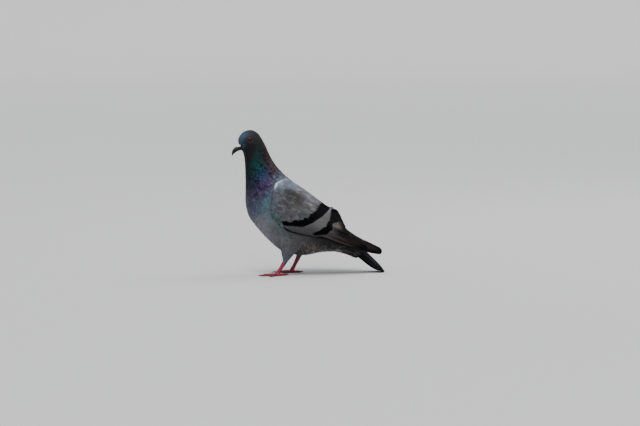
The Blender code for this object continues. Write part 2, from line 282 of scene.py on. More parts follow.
def makeFloor():
    only()
    bpy.ops.mesh.primitive_circle_add(vertices=96, radius=studio["radius"], fill_type="NOTHING")
    floor = added()
    pick(floor, lambda co: True)
    steps, rim, growth, wall = studio["sweep"]
    for step in range(1, steps + 1):  # the rim sweeps up into a wall
        angle = math.pi / 2 * step / steps
        rise, grow = rim * math.sin(angle), 1 + growth * math.cos(angle)
        bpy.ops.mesh.extrude_region_move(TRANSFORM_OT_translate={"value": (0, 0, rise)})
        bpy.ops.transform.resize(value=(grow, grow, 1), center_override=(0, 0, 0))
    bpy.ops.mesh.extrude_region_move(TRANSFORM_OT_translate={"value": (0, 0, wall)})
    bpy.ops.object.mode_set(mode="OBJECT")
    pick(floor, lambda co: co.z < 0.01)
    bpy.ops.mesh.edge_face_add()  # the flat floor itself
    bpy.ops.mesh.select_all(action="SELECT")
    bpy.ops.mesh.normals_make_consistent(inside=True)
    bpy.ops.object.mode_set(mode="OBJECT")
    finish = Finish("studio floor", Roughness=0.85)
    speck = finish.noise(1.3, 4)
    base = studio["floorTone"]
    finish.set(Base_Color=finish.mix(speck, [c * 0.985 for c in base], [c * 1.015 for c in base]))
    floor.data.materials.append(finish.material)
    floor.name = "studio_floor"
    smoothed(floor, 30)


def makeLights():
    for name, place, size, watts, colour in studio["lights"]:
        light = bpy.data.lights.new(name, "AREA")
        light.shape, light.size, light.energy, light.color = "DISK", size, watts, colour
        aim = Vector(studio["lookAt"]) - Vector(place)
        linked(name, light, place, aim.to_track_quat("-Z", "Y").to_euler())
    look = studio["sun"]
    sun = bpy.data.lights.new("overhead", "SUN")
    sun.energy, sun.angle, sun.color = look["strength"], look["softness"], look["tone"]
    linked("overhead", sun, turn=Vector(look["from"]).to_track_quat("Z", "Y").to_euler())
    world = bpy.data.worlds.new("studio light")
    bpy.context.scene.world = world
    world.use_nodes = True
    back = world.node_tree.nodes["Background"]
    back.inputs["Color"].default_value = (*studio["worldTone"], 1)
    back.inputs["Strength"].default_value = studio["worldStrength"]


view = {
    "turn": math.radians(75),
    "pitch": math.radians(4.3),
    "place": (3.80, 0.0171, 0.379),  # away from the bird, to the right, up
    "lens": 140,
}


def makeCamera():
    turn = view["turn"]
    away, aside, up = view["place"]
    toward = Vector((math.sin(turn), -math.cos(turn), 0))
    right = Vector((math.cos(turn), math.sin(turn), 0))
    lens = bpy.data.cameras.new("camera")
    lens.lens, lens.sensor_width = view["lens"], 36
    lens.clip_start, lens.clip_end = 0.05, 60
    place = toward * away + right * aside + Vector((0, 0, up))
    bpy.context.scene.camera = linked("camera", lens, place, (math.pi / 2 - view["pitch"], 0, turn))


makeCamera()
makeFloor()
makeLights()
print("studio ready")


# back y z, belly y z, half width, squareness, height of the widest place
bodySections = np.array((
    (-107.9, 199.2, -103.3, 190.2, 4.8, 2.0, 0.50),  # bill base
    (-110.8, 205.4, -101.8, 186.2, 7.4, 2.0, 0.54),  # forehead
    (-107.8, 213.6, -100.6, 181.4, 9.5, 2.0, 0.60),
    (-100.6, 219.6, -100.2, 176.4, 11.2, 2.0, 0.64),
    (-90.0, 221.4, -100.0, 171.0, 12.3, 2.0, 0.64),  # crown
    (-80.4, 216.6, -99.8, 165.0, 12.8, 2.0, 0.62),
    (-73.8, 207.6, -99.6, 158.6, 13.6, 2.0, 0.58),  # back of the head
    (-67.4, 195.6, -99.4, 150.6, 15.0, 2.0, 0.54),
    (-61.0, 181.8, -99.2, 141.0, 17.2, 2.0, 0.50),  # neck
    (-52.0, 167.2, -99.2, 127.6, 22.4, 2.0, 0.50),
    (-41.0, 155.4, -98.8, 109.4, 29.4, 2.0, 0.48),  # neck base
    (-26.5, 143.0, -93.6, 89.8, 35.0, 2.0, 0.46),  # shoulders
    (-8.5, 129.6, -80.4, 71.6, 38.0, 2.0, 0.46),
    (11.0, 112.4, -62.6, 52.4, 38.6, 2.0, 0.48),  # breast
    (30.0, 95.6, -42.6, 36.6, 37.0, 2.1, 0.48),
    (46.0, 80.4, -14.0, 29.2, 32.4, 2.1, 0.46),  # belly
    (58.0, 67.6, 18.0, 33.0, 26.0, 2.0, 0.46),
    (68.0, 57.0, 43.0, 32.8, 19.6, 2.0, 0.46),  # vent
    (77.0, 47.4, 61.0, 28.0, 15.4, 2.0, 0.46),
    (84.5, 38.6, 75.0, 22.0, 12.6, 2.0, 0.46),  # end of the tail coverts
))

# upper edge, middle and lower edge
wingSections = np.array((
    (28.0, -57.0, 143.0, 39.8, -68.5, 114.0, 35.8, -64.0, 87.0),  # wrist
    (21.5, -41.0, 147.0, 45.4, -50.0, 105.0, 41.2, -44.0, 70.4),
    (15.0, -12.0, 131.4, 47.2, -19.0, 92.6, 42.0, -15.0, 63.4),
    (11.5, 10.0, 116.0, 46.2, 7.0, 80.6, 40.0, 12.0, 57.0),
    (8.0, 30.0, 102.6, 42.2, 30.0, 70.2, 36.0, 33.0, 49.4),
    (5.5, 46.0, 94.6, 35.8, 50.0, 60.8, 30.4, 54.0, 42.4),  # tertials
    (5.5, 54.5, 76.4, 29.0, 66.0, 51.6, 25.6, 72.0, 37.4),
    (9.6, 76.0, 56.4, 24.2, 85.0, 43.0, 21.8, 89.0, 33.2),  # primaries
    (13.0, 96.0, 45.6, 21.0, 101.0, 36.8, 19.4, 103.0, 29.8),
    (15.6, 110.0, 38.6, 18.4, 111.6, 33.4, 17.6, 109.6, 28.6),  # tip
))

# ridge y z and outer edge x y z
tailSections = np.array((
    (62.0, 61.0, 13.0, 58.0, 33.5),
    (80.0, 43.6, 16.5, 75.0, 24.2),
    (98.0, 26.6, 18.4, 93.0, 14.2),
    (113.0, 11.8, 17.6, 108.0, 6.2),
    (120.6, 1.2, 15.0, 116.6, 1.4),
))

legs = {
    "left": {"side": 22.0, "y": -54.6, "lean": math.radians(34), "hem": 20.5},
    "right": {"side": -22.0, "y": -20.8, "lean": math.radians(27), "hem": 24.0},
}
footHeight = 4.6
wingBend = {"by": np.array((-1.7, -0.9, -1.5)), "from": 0.03, "over": 0.06, "fade": (5.0, -0.9)}


def smoothRows(rows, station):  # rows read between their stations, on a smooth curve
    station = np.asarray(station, float)
    low = np.clip(station.astype(int), 0, len(rows) - 2)
    share = (station - low)[..., None]
    a, b, c, d = (rows[np.clip(low + step, 0, len(rows) - 1)] for step in (-1, 0, 1, 2))
    return 0.5 * (2 * b + (c - a) * share + (2 * a - 5 * b + 4 * c - d) * share**2
                  + (3 * b - a - 3 * c + d) * share**3)


def bodyAt(station, angle):  # angle 0 on the back, half a turn under the belly
    row = np.moveaxis(smoothRows(bodySections, station), -1, 0)
    backY, backZ, bellyY, bellyZ, half, power, widest = row
    height = np.hypot(backY - bellyY, backZ - bellyZ)
    upY, upZ = (backY - bellyY) / height, (backZ - bellyZ) / height
    side = np.sign(np.sin(angle)) * np.abs(np.sin(angle)) ** (2 / power)
    rise = np.sign(np.cos(angle)) * np.abs(np.cos(angle)) ** (2 / power)
    reach = height * (widest + rise * np.where(rise > 0, 1 - widest, widest))
    return np.stack([side * half, bellyY + upY * reach, bellyZ + upZ * reach], -1)


def wingAt(station, share):  # share 0 at the upper edge, 1 at the lower
    row = smoothRows(wingSections, station)
    station, share = np.asarray(station, float)[..., None], np.asarray(share, float)[..., None]
    # the upper edge bends down onto the back
    bend = np.clip((wingBend["from"] - share) / wingBend["over"], 0, 1.7) ** 2
    bend = bend * ramp(station, *wingBend["fade"])
    return (row[..., 0:3] * (1 - share) * (1 - 2 * share) + row[..., 3:6] * 4 * share * (1 - share)
            + row[..., 6:9] * share * (2 * share - 1) + bend * wingBend["by"])


def tailAt(station, share):  # share -1 to 1 across
    ridgeY, ridgeZ, edgeX, edgeY, edgeZ = np.moveaxis(smoothRows(tailSections, station), -1, 0)
    bend = np.abs(share) ** 1.7
    y, z = ridgeY + (edgeY - ridgeY) * bend, ridgeZ + (edgeZ - ridgeZ) * bend
    return np.stack([share * edgeX, y, z], -1)


def legLine(leg, height):
    return np.array([leg["side"], leg["y"] + math.tan(leg["lean"]) * (height - footHeight), height])


def ramp(value, start, over):  # climbs from 0 to 1 over a distance, or falls where that is negative
    return np.clip((value - start) / over, 0, 1)


def unit(vectors):
    return vectors / np.maximum(np.linalg.norm(vectors, axis=-1, keepdims=True), 1e-9)


def surfaceFrame(at, first, second):
    step = 0.01
    alongFirst = (at(first + step, second) - at(first - step, second)) / (2 * step)
    alongSecond = (at(first, second + step) - at(first, second - step)) / (2 * step)
    return alongFirst, alongSecond, unit(np.cross(alongSecond, alongFirst))


# station, angle, their reach, and the tone of that part of the plumage; a few marks paint shade or a
# highlight instead
bodyMarks = {
    # the forehead's blue is partly its own and partly a painted highlight from above
    "forehead": (1.9, 0.7, 1.2, 0.7, (62, 84, 100)),
    "foreheadLow": (0.9, 0.7, 0.5, 0.5, (36, 42, 54)),
    "crown": (4.5, 0.4, 1.1, 0.6, (50, 50, 58)),
    "backOfHead": (5.9, 0.3, 1.0, 0.7, (37, 34, 38)),
    "behindEye": (5.3, 1.1, 0.9, 0.5, (38, 37, 38)),
    "loreLine": (1.5, 1.72, 0.9, 0.07, (92, 98, 102)),
    "lore": (2.4, 1.5, 1.2, 0.4, (31, 34, 40)),
    "cheek": (4.6, 1.9, 1.2, 0.5, (26, 26, 29)),
    "chin": (3.0, 2.8, 2.4, 0.7, (20, 24, 27)),
    "throat": (6.4, 2.8, 1.4, 0.6, (17, 23, 26)),
    "neckGreen": (6.7, 1.75, 1.0, 0.55, (19, 55, 54)),
    "neckGreenFront": (6.6, 2.3, 0.9, 0.4, (19, 43, 45)),
    "nape": (7.1, 0.5, 0.9, 0.6, (42, 31, 33)),
    "lowerNape": (8.7, 0.5, 1.0, 0.6, (58, 43, 46)),
    "neckBlue": (8.4, 1.6, 0.6, 0.5, (24, 46, 68)),
    "neckFront": (8.2, 2.6, 0.9, 0.6, (27, 34, 43)),
    "violet": (9.5, 1.8, 0.65, 0.6, (51, 40, 68)),
    "violetFront": (9.4, 2.5, 0.8, 0.5, (54, 48, 66)),
    "shoulder": (10.3, 0.8, 0.7, 0.5, (93, 100, 118)),
    "mantle": (11.8, 0.4, 1.2, 0.7, (118, 117, 122)),
    "breastSlate": (10.6, 2.2, 0.7, 0.5, (70, 78, 93)),
    "breastTeal": (11.0, 1.75, 0.6, 0.3, (76, 110, 119)),
    "breastFront": (10.6, 3.0, 0.8, 0.5, (72, 78, 93)),
    "breastLow": (12.3, 2.7, 1.0, 0.7, (121, 120, 129)),
    "breastShade": (12.5, 2.35, 0.35, 0.25, (64, 64, 72)),
    "breastEdge": (12.0, 2.0, 0.7, 0.4, (82, 101, 102)),
    "flank": (13.6, 2.0, 0.9, 0.5, (70, 69, 71)),
    "belly": (14.0, 2.7, 1.2, 0.7, (91, 87, 90)),
    "rearFlank": (15.1, 2.25, 0.7, 0.27, (108, 101, 97)),
    # painted shade on the flank under the rear of the wing
    "flankShadeUnderWing": (16.0, 1.85, 0.8, 0.26, (24, 22, 22)),
    # painted shadow on the body just under the wing's lower edge
    "shadowUnderWing": (15.2, 1.58, 1.3, 0.24, (14, 13, 13)),
    # painted shade under the belly between the legs, in a brownish tone
    "shadeBetweenLegs": (14.6, 2.5, 0.35, 0.25, (52, 48, 42)),
    "breastTealLow": (13.0, 2.17, 0.35, 0.22, (76, 90, 92)),
    "vent": (16.6, 2.6, 1.0, 0.8, (32, 30, 31)),
    "ventPale": (17.4, 2.35, 0.35, 0.25, (78, 78, 81)),
    "underTail": (18.2, 2.4, 1.2, 0.9, (27, 27, 30)),
    "back": (13.6, 0.5, 1.2, 0.7, (130, 132, 136)),
    "rump": (16.0, 0.5, 1.2, 0.8, (118, 120, 124)),
    "tailCoverts": (18.4, 0.6, 1.0, 0.9, (56, 57, 61)),
}

# station, share, their reach, and the tone of that part of the wing; the two wrist marks are painted
# highlights
wingMarks = {
    # painted highlights where the bend of the wing catches the light
    "wristHighlight": (0.05, 0.05, 0.16, 0.06, (246, 252, 255)),
    "wristTopHighlight": (0.38, 0.0, 0.24, 0.03, (240, 248, 255)),
    "scapulars": (1.0, 0.02, 1.0, 0.10, (124, 133, 147)),
    "frontGrey": (0.3, 0.45, 0.5, 0.25, (83, 87, 96)),
    "lowerFront": (0.2, 0.85, 0.4, 0.2, (78, 98, 97)),
    "brown": (1.55, 0.20, 0.45, 0.085, (58, 53, 52)),
    "brownBehind": (1.85, 0.12, 0.25, 0.05, (84, 75, 74)),
    "upperGrey": (2.6, 0.06, 0.8, 0.15, (120, 118, 123)),
    "middle": (1.6, 0.45, 0.8, 0.2, (82, 81, 83)),
    "lower": (1.4, 0.65, 0.8, 0.2, (82, 81, 84)),
    "paleBand": (3.2, 0.38, 0.7, 0.25, (91, 89, 88)),
    "paleBandTop": (4.1, 0.05, 0.3, 0.10, (118, 116, 121)),
    "paleBandLow": (2.0, 0.86, 0.8, 0.12, (66, 64, 66)),
    "buff": (4.3, 0.31, 0.30, 0.075, (112, 104, 99)),
    "underBuff": (4.7, 0.50, 0.6, 0.07, (10, 9, 9)),
    "streak": (4.3, 0.70, 0.9, 0.035, (70, 63, 61)),
    "lowStreak": (4.2, 0.895, 1.1, 0.035, (88, 77, 74)),
    "tertials": (4.8, 0.08, 0.5, 0.12, (20, 19, 18)),
    "rear": (6.0, 0.5, 1.5, 0.6, (8, 7, 7)),
    "tip": (8.5, 0.5, 1.2, 0.8, (12, 9, 9)),
}

# the black bars' edges: shares down the wing, and the station at each
bars = {
    "firstFront": (
        (0, 0.08, 0.14, 0.21, 0.27, 0.345, 0.435, 0.53, 0.59, 0.64, 0.675, 0.7, 0.765, 0.775, 0.785, 0.82,
         0.89, 0.93, 1.0),
        (3.34, 3.24, 3.12, 2.98, 2.82, 2.66, 2.38, 2.22, 1.98, 1.92, 1.74, 1.5, 1.36, 1.15, 0.92, 0.8, 0.74,
         0.8, 0.8),
    ),
    "firstRear": (
        (0, 0.08, 0.14, 0.21, 0.29, 0.375, 0.47, 0.565, 0.645, 0.695, 0.75, 0.795, 0.825, 0.85, 0.885, 0.925,
         1.0),
        (4.1, 3.84, 3.66, 3.44, 3.24, 2.98, 2.72, 2.5, 2.28, 2.12, 2.0, 1.84, 1.58, 1.22, 1.02, 0.8, 0.2),
    ),
    "secondFront": (
        (0, 0.09, 0.19, 0.27, 0.355, 0.42, 0.48, 0.54, 0.61, 0.675, 0.75, 0.8, 0.9, 1.0),
        (4.2, 4.04, 3.9, 3.78, 3.6, 3.48, 3.38, 3.2, 3.06, 2.94, 2.78, 2.62, 2.4, 2.1),
    ),
    "secondRear": (
        (0, 0.135, 0.225, 0.275, 0.33, 0.39, 0.52, 0.59, 0.665, 0.755, 0.835, 0.88, 0.94, 1.0),
        (5.4, 4.98, 4.58, 4.3, 3.98, 3.9, 3.84, 3.66, 3.5, 3.38, 3.16, 2.88, 2.5, 2.3),
    ),
}


def barLine(name, share):
    return np.interp(share, *bars[name])


def barEdge(station, share):  # below 0 inside either black bar
    first = np.maximum(barLine("firstFront", share) - station, station - barLine("firstRear", share))
    second = np.maximum(barLine("secondFront", share) - station, station - barLine("secondRear", share))
    return np.minimum(first, second)


def blendMarks(marks, first, second):  # every part's tone, weighed by how near it is
    total = np.full(np.shape(first), 1e-6)
    colour = np.zeros((*np.shape(first), 3))
    for place, turn, reach, turnReach, rgb in marks.values():
        weight = np.exp(-(((first - place) / reach) ** 2) - ((second - turn) / turnReach) ** 2)
        total += weight
        colour += weight[..., None] * tone(*rgb)
    return colour / total[..., None]


def bodyTone(station, angle):
    return blendMarks(bodyMarks, station, np.abs(angle))


def wingTone(station, share):
    return blendMarks(wingMarks, station, share)


neckShine = {"station": 8.2, "reach": 2.1, "least": 0.35, "aside": (0.3, 0.9)}


def neckGloss(station, angle):  # where the neck shines like metal
    along = np.exp(-(((station - neckShine["station"]) / neckShine["reach"]) ** 4))
    aside = ramp(np.abs(angle), *neckShine["aside"])
    return along * (neckShine["least"] + (1 - neckShine["least"]) * aside)


coatLook = {
    "barbDepth": 0.10,
    "strand": 0.60,
    "mottle": 0.20,
    "cloud": 0.34,
    "black": tone(4, 4, 6),
    "bandWobble": 1.4,
}


def featherFinish(name, roughness, gloss, shaftLight, barbs, bump, specular=0.08, sheen=0.03):
    finish = Finish(name, Roughness=roughness, Specular_IOR_Level=specular, Sheen_Weight=sheen)
    coat = finish.attribute("coat", "Color")
    across, along, luck = finish.parts(finish.attribute("vane", "Vector"))
    band = finish.attribute("band")
    metal = finish.attribute("gloss")
    edge = (band + (finish.noise(420, 2) - 0.5) * coatLook["bandWobble"]).fade(-0.5, 0.5)
    coat = finish.mix(edge, coatLook["black"], coat)
    # barbs run out from the shaft and back toward the tip
    barb = ((along * 1.6 - across.size() * 0.55 + luck * 3.0) * (barbs * 6.283)).sine() * 0.5 + 0.5
    fine = finish.noise(900, 3)
    cloud = finish.noise(190, 3, roughness=0.6)
    shade = 1.0 - (1.0 - barb) * coatLook["barbDepth"] - (fine - 0.5) * coatLook["mottle"]
    # fine strands lie along each vane
    lie = {0: across * 11.0, 1: along * 2.4 - across.size() * 1.4, 2: luck * 60.0}
    strand = finish.noise(1.0, 3, finish.node("CombineXYZ", {}, lie), 0.6)
    shade = shade + (cloud - 0.5) * coatLook["cloud"] + (strand - 0.5) * coatLook["strand"]
    shaft = 1.0 - across.size().fade(0.03, 0.11)
    coat = finish.shaded(coat, shade + shaft * shaftLight)
    finish.set(Base_Color=coat, Metallic=metal * gloss,
               Roughness=roughness - metal * 0.18 + (fine - 0.5) * 0.2)
    finish.bump(barb * 0.4 + fine * 0.4 + strand * 1.2 + shaft * 0.8, bump, 0.0004)
    return finish.material


def skinFinish():
    finish = Finish("skin", Roughness=0.75)
    down = finish.noise(700, 4)
    finish.set(Base_Color=finish.shaded(finish.attribute("coat", "Color"), 0.55 + down * 0.35),
               Roughness=0.7 + down * 0.2)
    finish.bump(down, 0.4, 0.0006)
    return finish.material


finishes = {
    "down": featherFinish("contour feathers", 0.62, 0.55, 0.10, 5.0, 0.35),
    "covert": featherFinish("wing coverts", 0.62, 0.0, 0.16, 8.0, 0.35, specular=0.03, sheen=0.0),
    "flight": featherFinish("flight feathers", 0.55, 0.0, 0.30, 34.0, 0.30, specular=0.03, sheen=0.0),
    "skin": skinFinish(),
}


skin = {
    "swell": 0.45,  # closes the slits between the nodes
    "voxel": 1.3,
    "smoothing": 8,
    "depth": 1.5,  # of the coat over it
    "headDepth": 0.75,
    "rearDepth": 1.5,  # more at the back of the wings, under the long feathers
    "ridgeDepth": 1.6,  # more along the wings' upper edges
    # where each begins and over what distance, in x, y and z for the rear
    "head": (150, 25),
    "hem": (34, -8),
    "rear": ((3, 3), (-30, 20), (40, 15)),
    "ridge": (7, -4),
    "wingDepth": 1.5,
    "wingReach": (8, 3.5, 2),  # how near a wing it is pressed in, how far aside, and over what width it stops
    "flesh": ("head", "neck", "trunk", "thigh_left", "thigh_right", "wing_left", "wing_right"),
}


def treeOf(places):
    tree = KDTree(len(places))
    for index, place in enumerate(places):
        tree.insert(place, index)
    tree.balance()
    return tree


def markFinder():  # finds the marking of any point near the body or a wing
    stations, angles = np.meshgrid(np.linspace(0, 19, 191), np.linspace(-math.pi, math.pi, 97), indexing="ij")
    wingS, wingQ = np.meshgrid(np.linspace(0, 5.2, 80), np.linspace(0, 1, 40), indexing="ij")
    bodyPoints = bodyAt(stations, angles).reshape(-1, 3)
    wingPoints = wingAt(wingS, wingQ).reshape(-1, 3)
    wingTones = np.where(barEdge(wingS, wingQ)[..., None] < 0, coatLook["black"], wingTone(wingS, wingQ))
    tones = np.concatenate([bodyTone(stations, angles).reshape(-1, 3)] + [wingTones.reshape(-1, 3)] * 2)
    return treeOf(np.concatenate([bodyPoints, wingPoints, wingPoints * (-1, 1, 1)])), tones, len(bodyPoints)


def underWings(points):  # presses the skin in wherever it would stand over the feathers of a wing
    stations, shares = np.meshgrid(np.linspace(0, 5.6, 100), np.linspace(0, 1, 60), indexing="ij")
    spots = wingAt(stations, shares).reshape(-1, 3)
    ups = surfaceFrame(wingAt, stations, shares)[2].reshape(-1, 3)
    tree = treeOf(spots)
    near, reach, fading = skin["wingReach"]
    sides = np.ones_like(points)
    sides[points[:, 0] < 0, 0] = -1
    pressed = points / mm * sides
    for point in pressed:
        _, index, distance = tree.find(Vector(point))
        height = (point - spots[index]) @ ups[index]
        aside = math.sqrt(max(distance**2 - height**2, 0))
        if distance < near and height > -skin["wingDepth"] and aside < reach:
            point -= ups[index] * (height + skin["wingDepth"]) * min((reach - aside) / fading, 1)
    return pressed * sides * mm


def makeSkin():
    flesh = rounded(copyOf(*skin["flesh"]), skin["voxel"], skin["smoothing"], skin["swell"])
    points, normals = pointsOf(flesh), normalsOf(flesh)
    outer = points - normals * skin["swell"] * mm
    x, y, z = np.abs(outer[:, 0]) / mm, outer[:, 1] / mm, outer[:, 2] / mm
    head = ramp(z, *skin["head"])
    hem = ramp(z, *skin["hem"]) * (y < 0)
    depth = skin["depth"] + (skin["headDepth"] - skin["depth"]) * np.maximum(head, hem)
    rear = ramp(x, *skin["rear"][0]) * ramp(y, *skin["rear"][1]) * ramp(z, *skin["rear"][2])
    depth = depth + skin["rearDepth"] * rear
    ridge = wingAt(np.linspace(1.8, 5.6, 40), np.zeros(40))
    gap = np.linalg.norm(np.stack([x, y, z], -1)[:, None] - ridge, axis=-1).min(1)
    depth = depth + skin["ridgeDepth"] * ramp(gap, *skin["ridge"])
    inner = underWings(outer - normals * depth[:, None] * mm)
    faces = [tuple(face.vertices) for face in flesh.data.polygons]
    outside = BVHTree.FromPolygons([Vector(point) for point in outer], faces)
    movePoints(flesh, inner)
    tree, tones, _ = markFinder()
    shades = np.ones((len(points), 4))
    shades[:, :3] = tones[[tree.find(Vector(point / mm))[1] for point in outer]]
    flesh.data.color_attributes.new("coat", "FLOAT_COLOR", "POINT").data.foreach_set("color", shades.ravel())
    smoothed(flesh, 180)
    named(flesh, "skin", finishes["skin"], "body_feathers", *skin["flesh"])
    return outside, outer


outside, outerPoints = makeSkin()
print("skin made")


def modelFeather(name, columns, widths, blunt):  # widths of its cross lines, from the quill to the tip
    rows = len(widths) - 1
    only()
    bpy.ops.mesh.primitive_grid_add(x_subdivisions=columns, y_subdivisions=rows, size=1, location=(0, 0.5, 0))
    vane = added()
    vane.name = name
    for row, width in enumerate(widths):  # each cross line drawn in to the outline
        height = row / rows
        pick(vane, lambda co: abs(co.y - height) < 0.01)
        bpy.ops.transform.resize(value=(width, 1, 1), center_override=(0, height, 0))
    bpy.ops.object.mode_set(mode="OBJECT")
    points = pointsOf(vane)
    x, y = points.T[:2]
    share = x / (0.5 * np.interp(y, np.linspace(0, 1, rows + 1), widths))
    y -= blunt * share**2 * y**6  # a round tip
    movePoints(vane, points)
    applied(vane, "SOLIDIFY", thickness=1.0, offset=-1)
    count = len(points)
    x, y = pointsOf(vane)[:count].T[:2]
    base = {
        "x": x,
        "y": y,
        "spot": np.concatenate([np.arange(count)] * 2),
        "under": np.arange(2 * count) >= count,
        "share": np.concatenate([share] * 2),
        "thin": 1.0 - 0.55 * np.concatenate([np.abs(share)] * 2),
        "quads": np.array([tuple(face.vertices) for face in vane.data.polygons]),
    }
    bpy.data.objects.remove(vane)
    return base


feathers = {
    "small": modelFeather("smallFeather", 2, (0.45, 0.86, 1.0, 0.84, 0.34), 0.10),
    "contour": modelFeather("contourFeather", 4, (0.36, 0.74, 0.97, 1.0, 0.82, 0.40), 0.08),
    "covert": modelFeather("covertFeather", 4, (0.34, 0.68, 0.92, 1.0, 0.95, 0.76, 0.36), 0.06),
    "greater": modelFeather("greaterCovert", 4, (0.50, 0.74, 0.90, 0.98, 1.0, 1.0, 0.98, 0.90, 0.50), 0.05),
    "flight": modelFeather(
        "flightFeather", 6, (0.55, 0.80, 0.93, 1.0, 1.0, 1.0, 1.0, 1.0, 0.99, 0.95, 0.84, 0.50), 0.025),
    "wisp": modelFeather("wispFeather", 2, (0.50, 0.90, 1.0, 0.90, 0.66, 0.16), 0.02),
}


limits = {
    "body": ((0, 18.97), (-9, 9)),
    "wing": ((-0.3, 9.04), (-0.1, 1.07)),
    "tail": ((-0.3, 4.0), (-1.06, 1.06)),
    "leg": ((0, 12), (-20, 20)),
}


def lay(base, at, ends, start, end, width, rise, thickness):  # places in pairs, one row a feather
    x, y = base["x"][None, :], base["y"][None, :]
    step = end - start
    first, second = start[:, :1] + step[:, :1] * y, start[:, 1:] + step[:, 1:] * y
    alongFirst, alongSecond, normal = surfaceFrame(at, first, second)
    path = unit(alongFirst * step[:, :1, None] + alongSecond * step[:, 1:, None])
    across = unit(np.cross(path, normal)) * (x * width[:, None])[..., None]
    ff, ss, fs = (alongFirst**2).sum(-1), (alongSecond**2).sum(-1), (alongFirst * alongSecond).sum(-1)
    byFirst, bySecond = (across * alongFirst).sum(-1), (across * alongSecond).sum(-1)
    size = np.maximum(ff * ss - fs**2, 1e-6)
    first = np.clip(first + np.clip((byFirst * ss - bySecond * fs) / size, -0.9, 0.9), *limits[ends][0])
    second = np.clip(second + np.clip((bySecond * ff - byFirst * fs) / size, -0.9, 0.9), *limits[ends][1])
    normal = surfaceFrame(at, first, second)[2]
    top = at(first, second) + normal * rise(y, x * 2)[..., None]
    spot = base["spot"]
    points = top[:, spot] - normal[:, spot] * (base["under"] * base["thin"] * thickness)[None, :, None]
    return {"base": base, "start": start, "points": points,
            "first": first[:, spot], "second": second[:, spot]}


def unstretched(batch, longest):  # drops the feathers stretched over a fold, and tells which are kept
    corners = batch["points"][:, batch["base"]["quads"]]
    fine = np.linalg.norm(corners - np.roll(corners, 1, axis=2), axis=-1).max(axis=(1, 2)) < longest
    batch.update({key: rows[fine] for key, rows in batch.items() if key != "base"})
    return fine


def alongOf(batch):  # how far from its root each point of a feather lies
    return batch["base"]["y"][batch["base"]["spot"]][None, :, None]


def luckOf(batch, count):  # one number a feather
    batch["luck"] = chance.random(count)
    return batch["luck"][:, None, None]


def coatPiece(name, laid, finish, slot, unwrap=None, mirror=False, floor=None):  # laid feathers in one mesh
    parts = []
    begin = 0
    for batch in laid:
        base = batch["base"]
        n, k = batch["points"].shape[:2]
        y = alongOf(batch)[0, :, 0]
        local = np.stack([base["x"][base["spot"]], y - 0.5], -1) * np.where(base["under"], 0.8, 1.0)[:, None]
        centres = batch["spots"] if "spots" in batch else unwrap(batch["start"])
        parts.append((
            batch["points"],
            base["quads"] + (begin + np.arange(n) * k)[:, None, None],
            np.broadcast_to(batch["tone"], (n, k, 3)),
            np.stack(np.broadcast_arrays(base["share"], y, batch["luck"][:, None]), -1),
            centres[:, None] + local * batch.get("patch", 0.003),
            np.broadcast_to(batch.get("band", 99.0), (n, k))[..., None],
            np.broadcast_to(batch.get("gloss", 0.0), (n, k))[..., None],
        ))
        begin += n * k
    points, quads, colour, vane, bake, band, gloss = (
        np.concatenate([rows.reshape(-1, rows.shape[-1]) for rows in column]) for column in zip(*parts))
    if floor is not None:
        points[:, 2] = np.maximum(points[:, 2], floor)
    if mirror:
        points = points * (-1, 1, 1)
        quads = quads[:, ::-1]
    mesh = bpy.data.meshes.new(name)
    mesh.vertices.add(len(points))
    mesh.vertices.foreach_set("co", (points * mm).ravel())
    mesh.loops.add(quads.size)
    mesh.loops.foreach_set("vertex_index", quads.ravel())
    mesh.polygons.add(len(quads))
    mesh.polygons.foreach_set("loop_start", np.arange(0, quads.size, 4))
    mesh.update(calc_edges=True)
    colour = np.append(np.clip(colour, 0, 1), np.ones((len(points), 1)), axis=1)
    mesh.color_attributes.new("coat", "FLOAT_COLOR", "POINT").data.foreach_set("color", colour.ravel())
    mesh.attributes.new("vane", "FLOAT_VECTOR", "POINT").data.foreach_set("vector", vane.ravel())
    for key, values in (("band", band), ("gloss", gloss)):
        mesh.attributes.new(key, "FLOAT", "POINT").data.foreach_set("value", values.ravel())
    low, high = bake.min(0), bake.max(0)
    if (high - low).max() > 1:
        bake = 0.01 + 0.98 * (bake - low) / (high - low)
    mesh.uv_layers.new(name="OFBake").data.foreach_set("uv", bake[quads.ravel()].ravel())
    piece = linked(name, mesh)
    smoothed(piece, 40)
    named(piece, name, finish, slot)
    print(name, len(quads) * 2, "triangles")
    return piece


def runOf(points):  # the way along a line to each of its points
    return np.concatenate([[0], np.cumsum(np.linalg.norm(np.diff(points, axis=0), axis=1))])


def ringPlaces(station, spacing, shifted):  # angles spaced evenly round the body
    angles = np.linspace(-math.pi, math.pi, 241)
    lengths = runOf(bodyAt(np.full(241, float(station)), angles))
    count = max(4, int(round(lengths[-1] / spacing)))
    steps = (np.arange(count) + (0.5 if shifted else 0.0)) / count * lengths[-1]
    return np.interp(steps, lengths, angles)


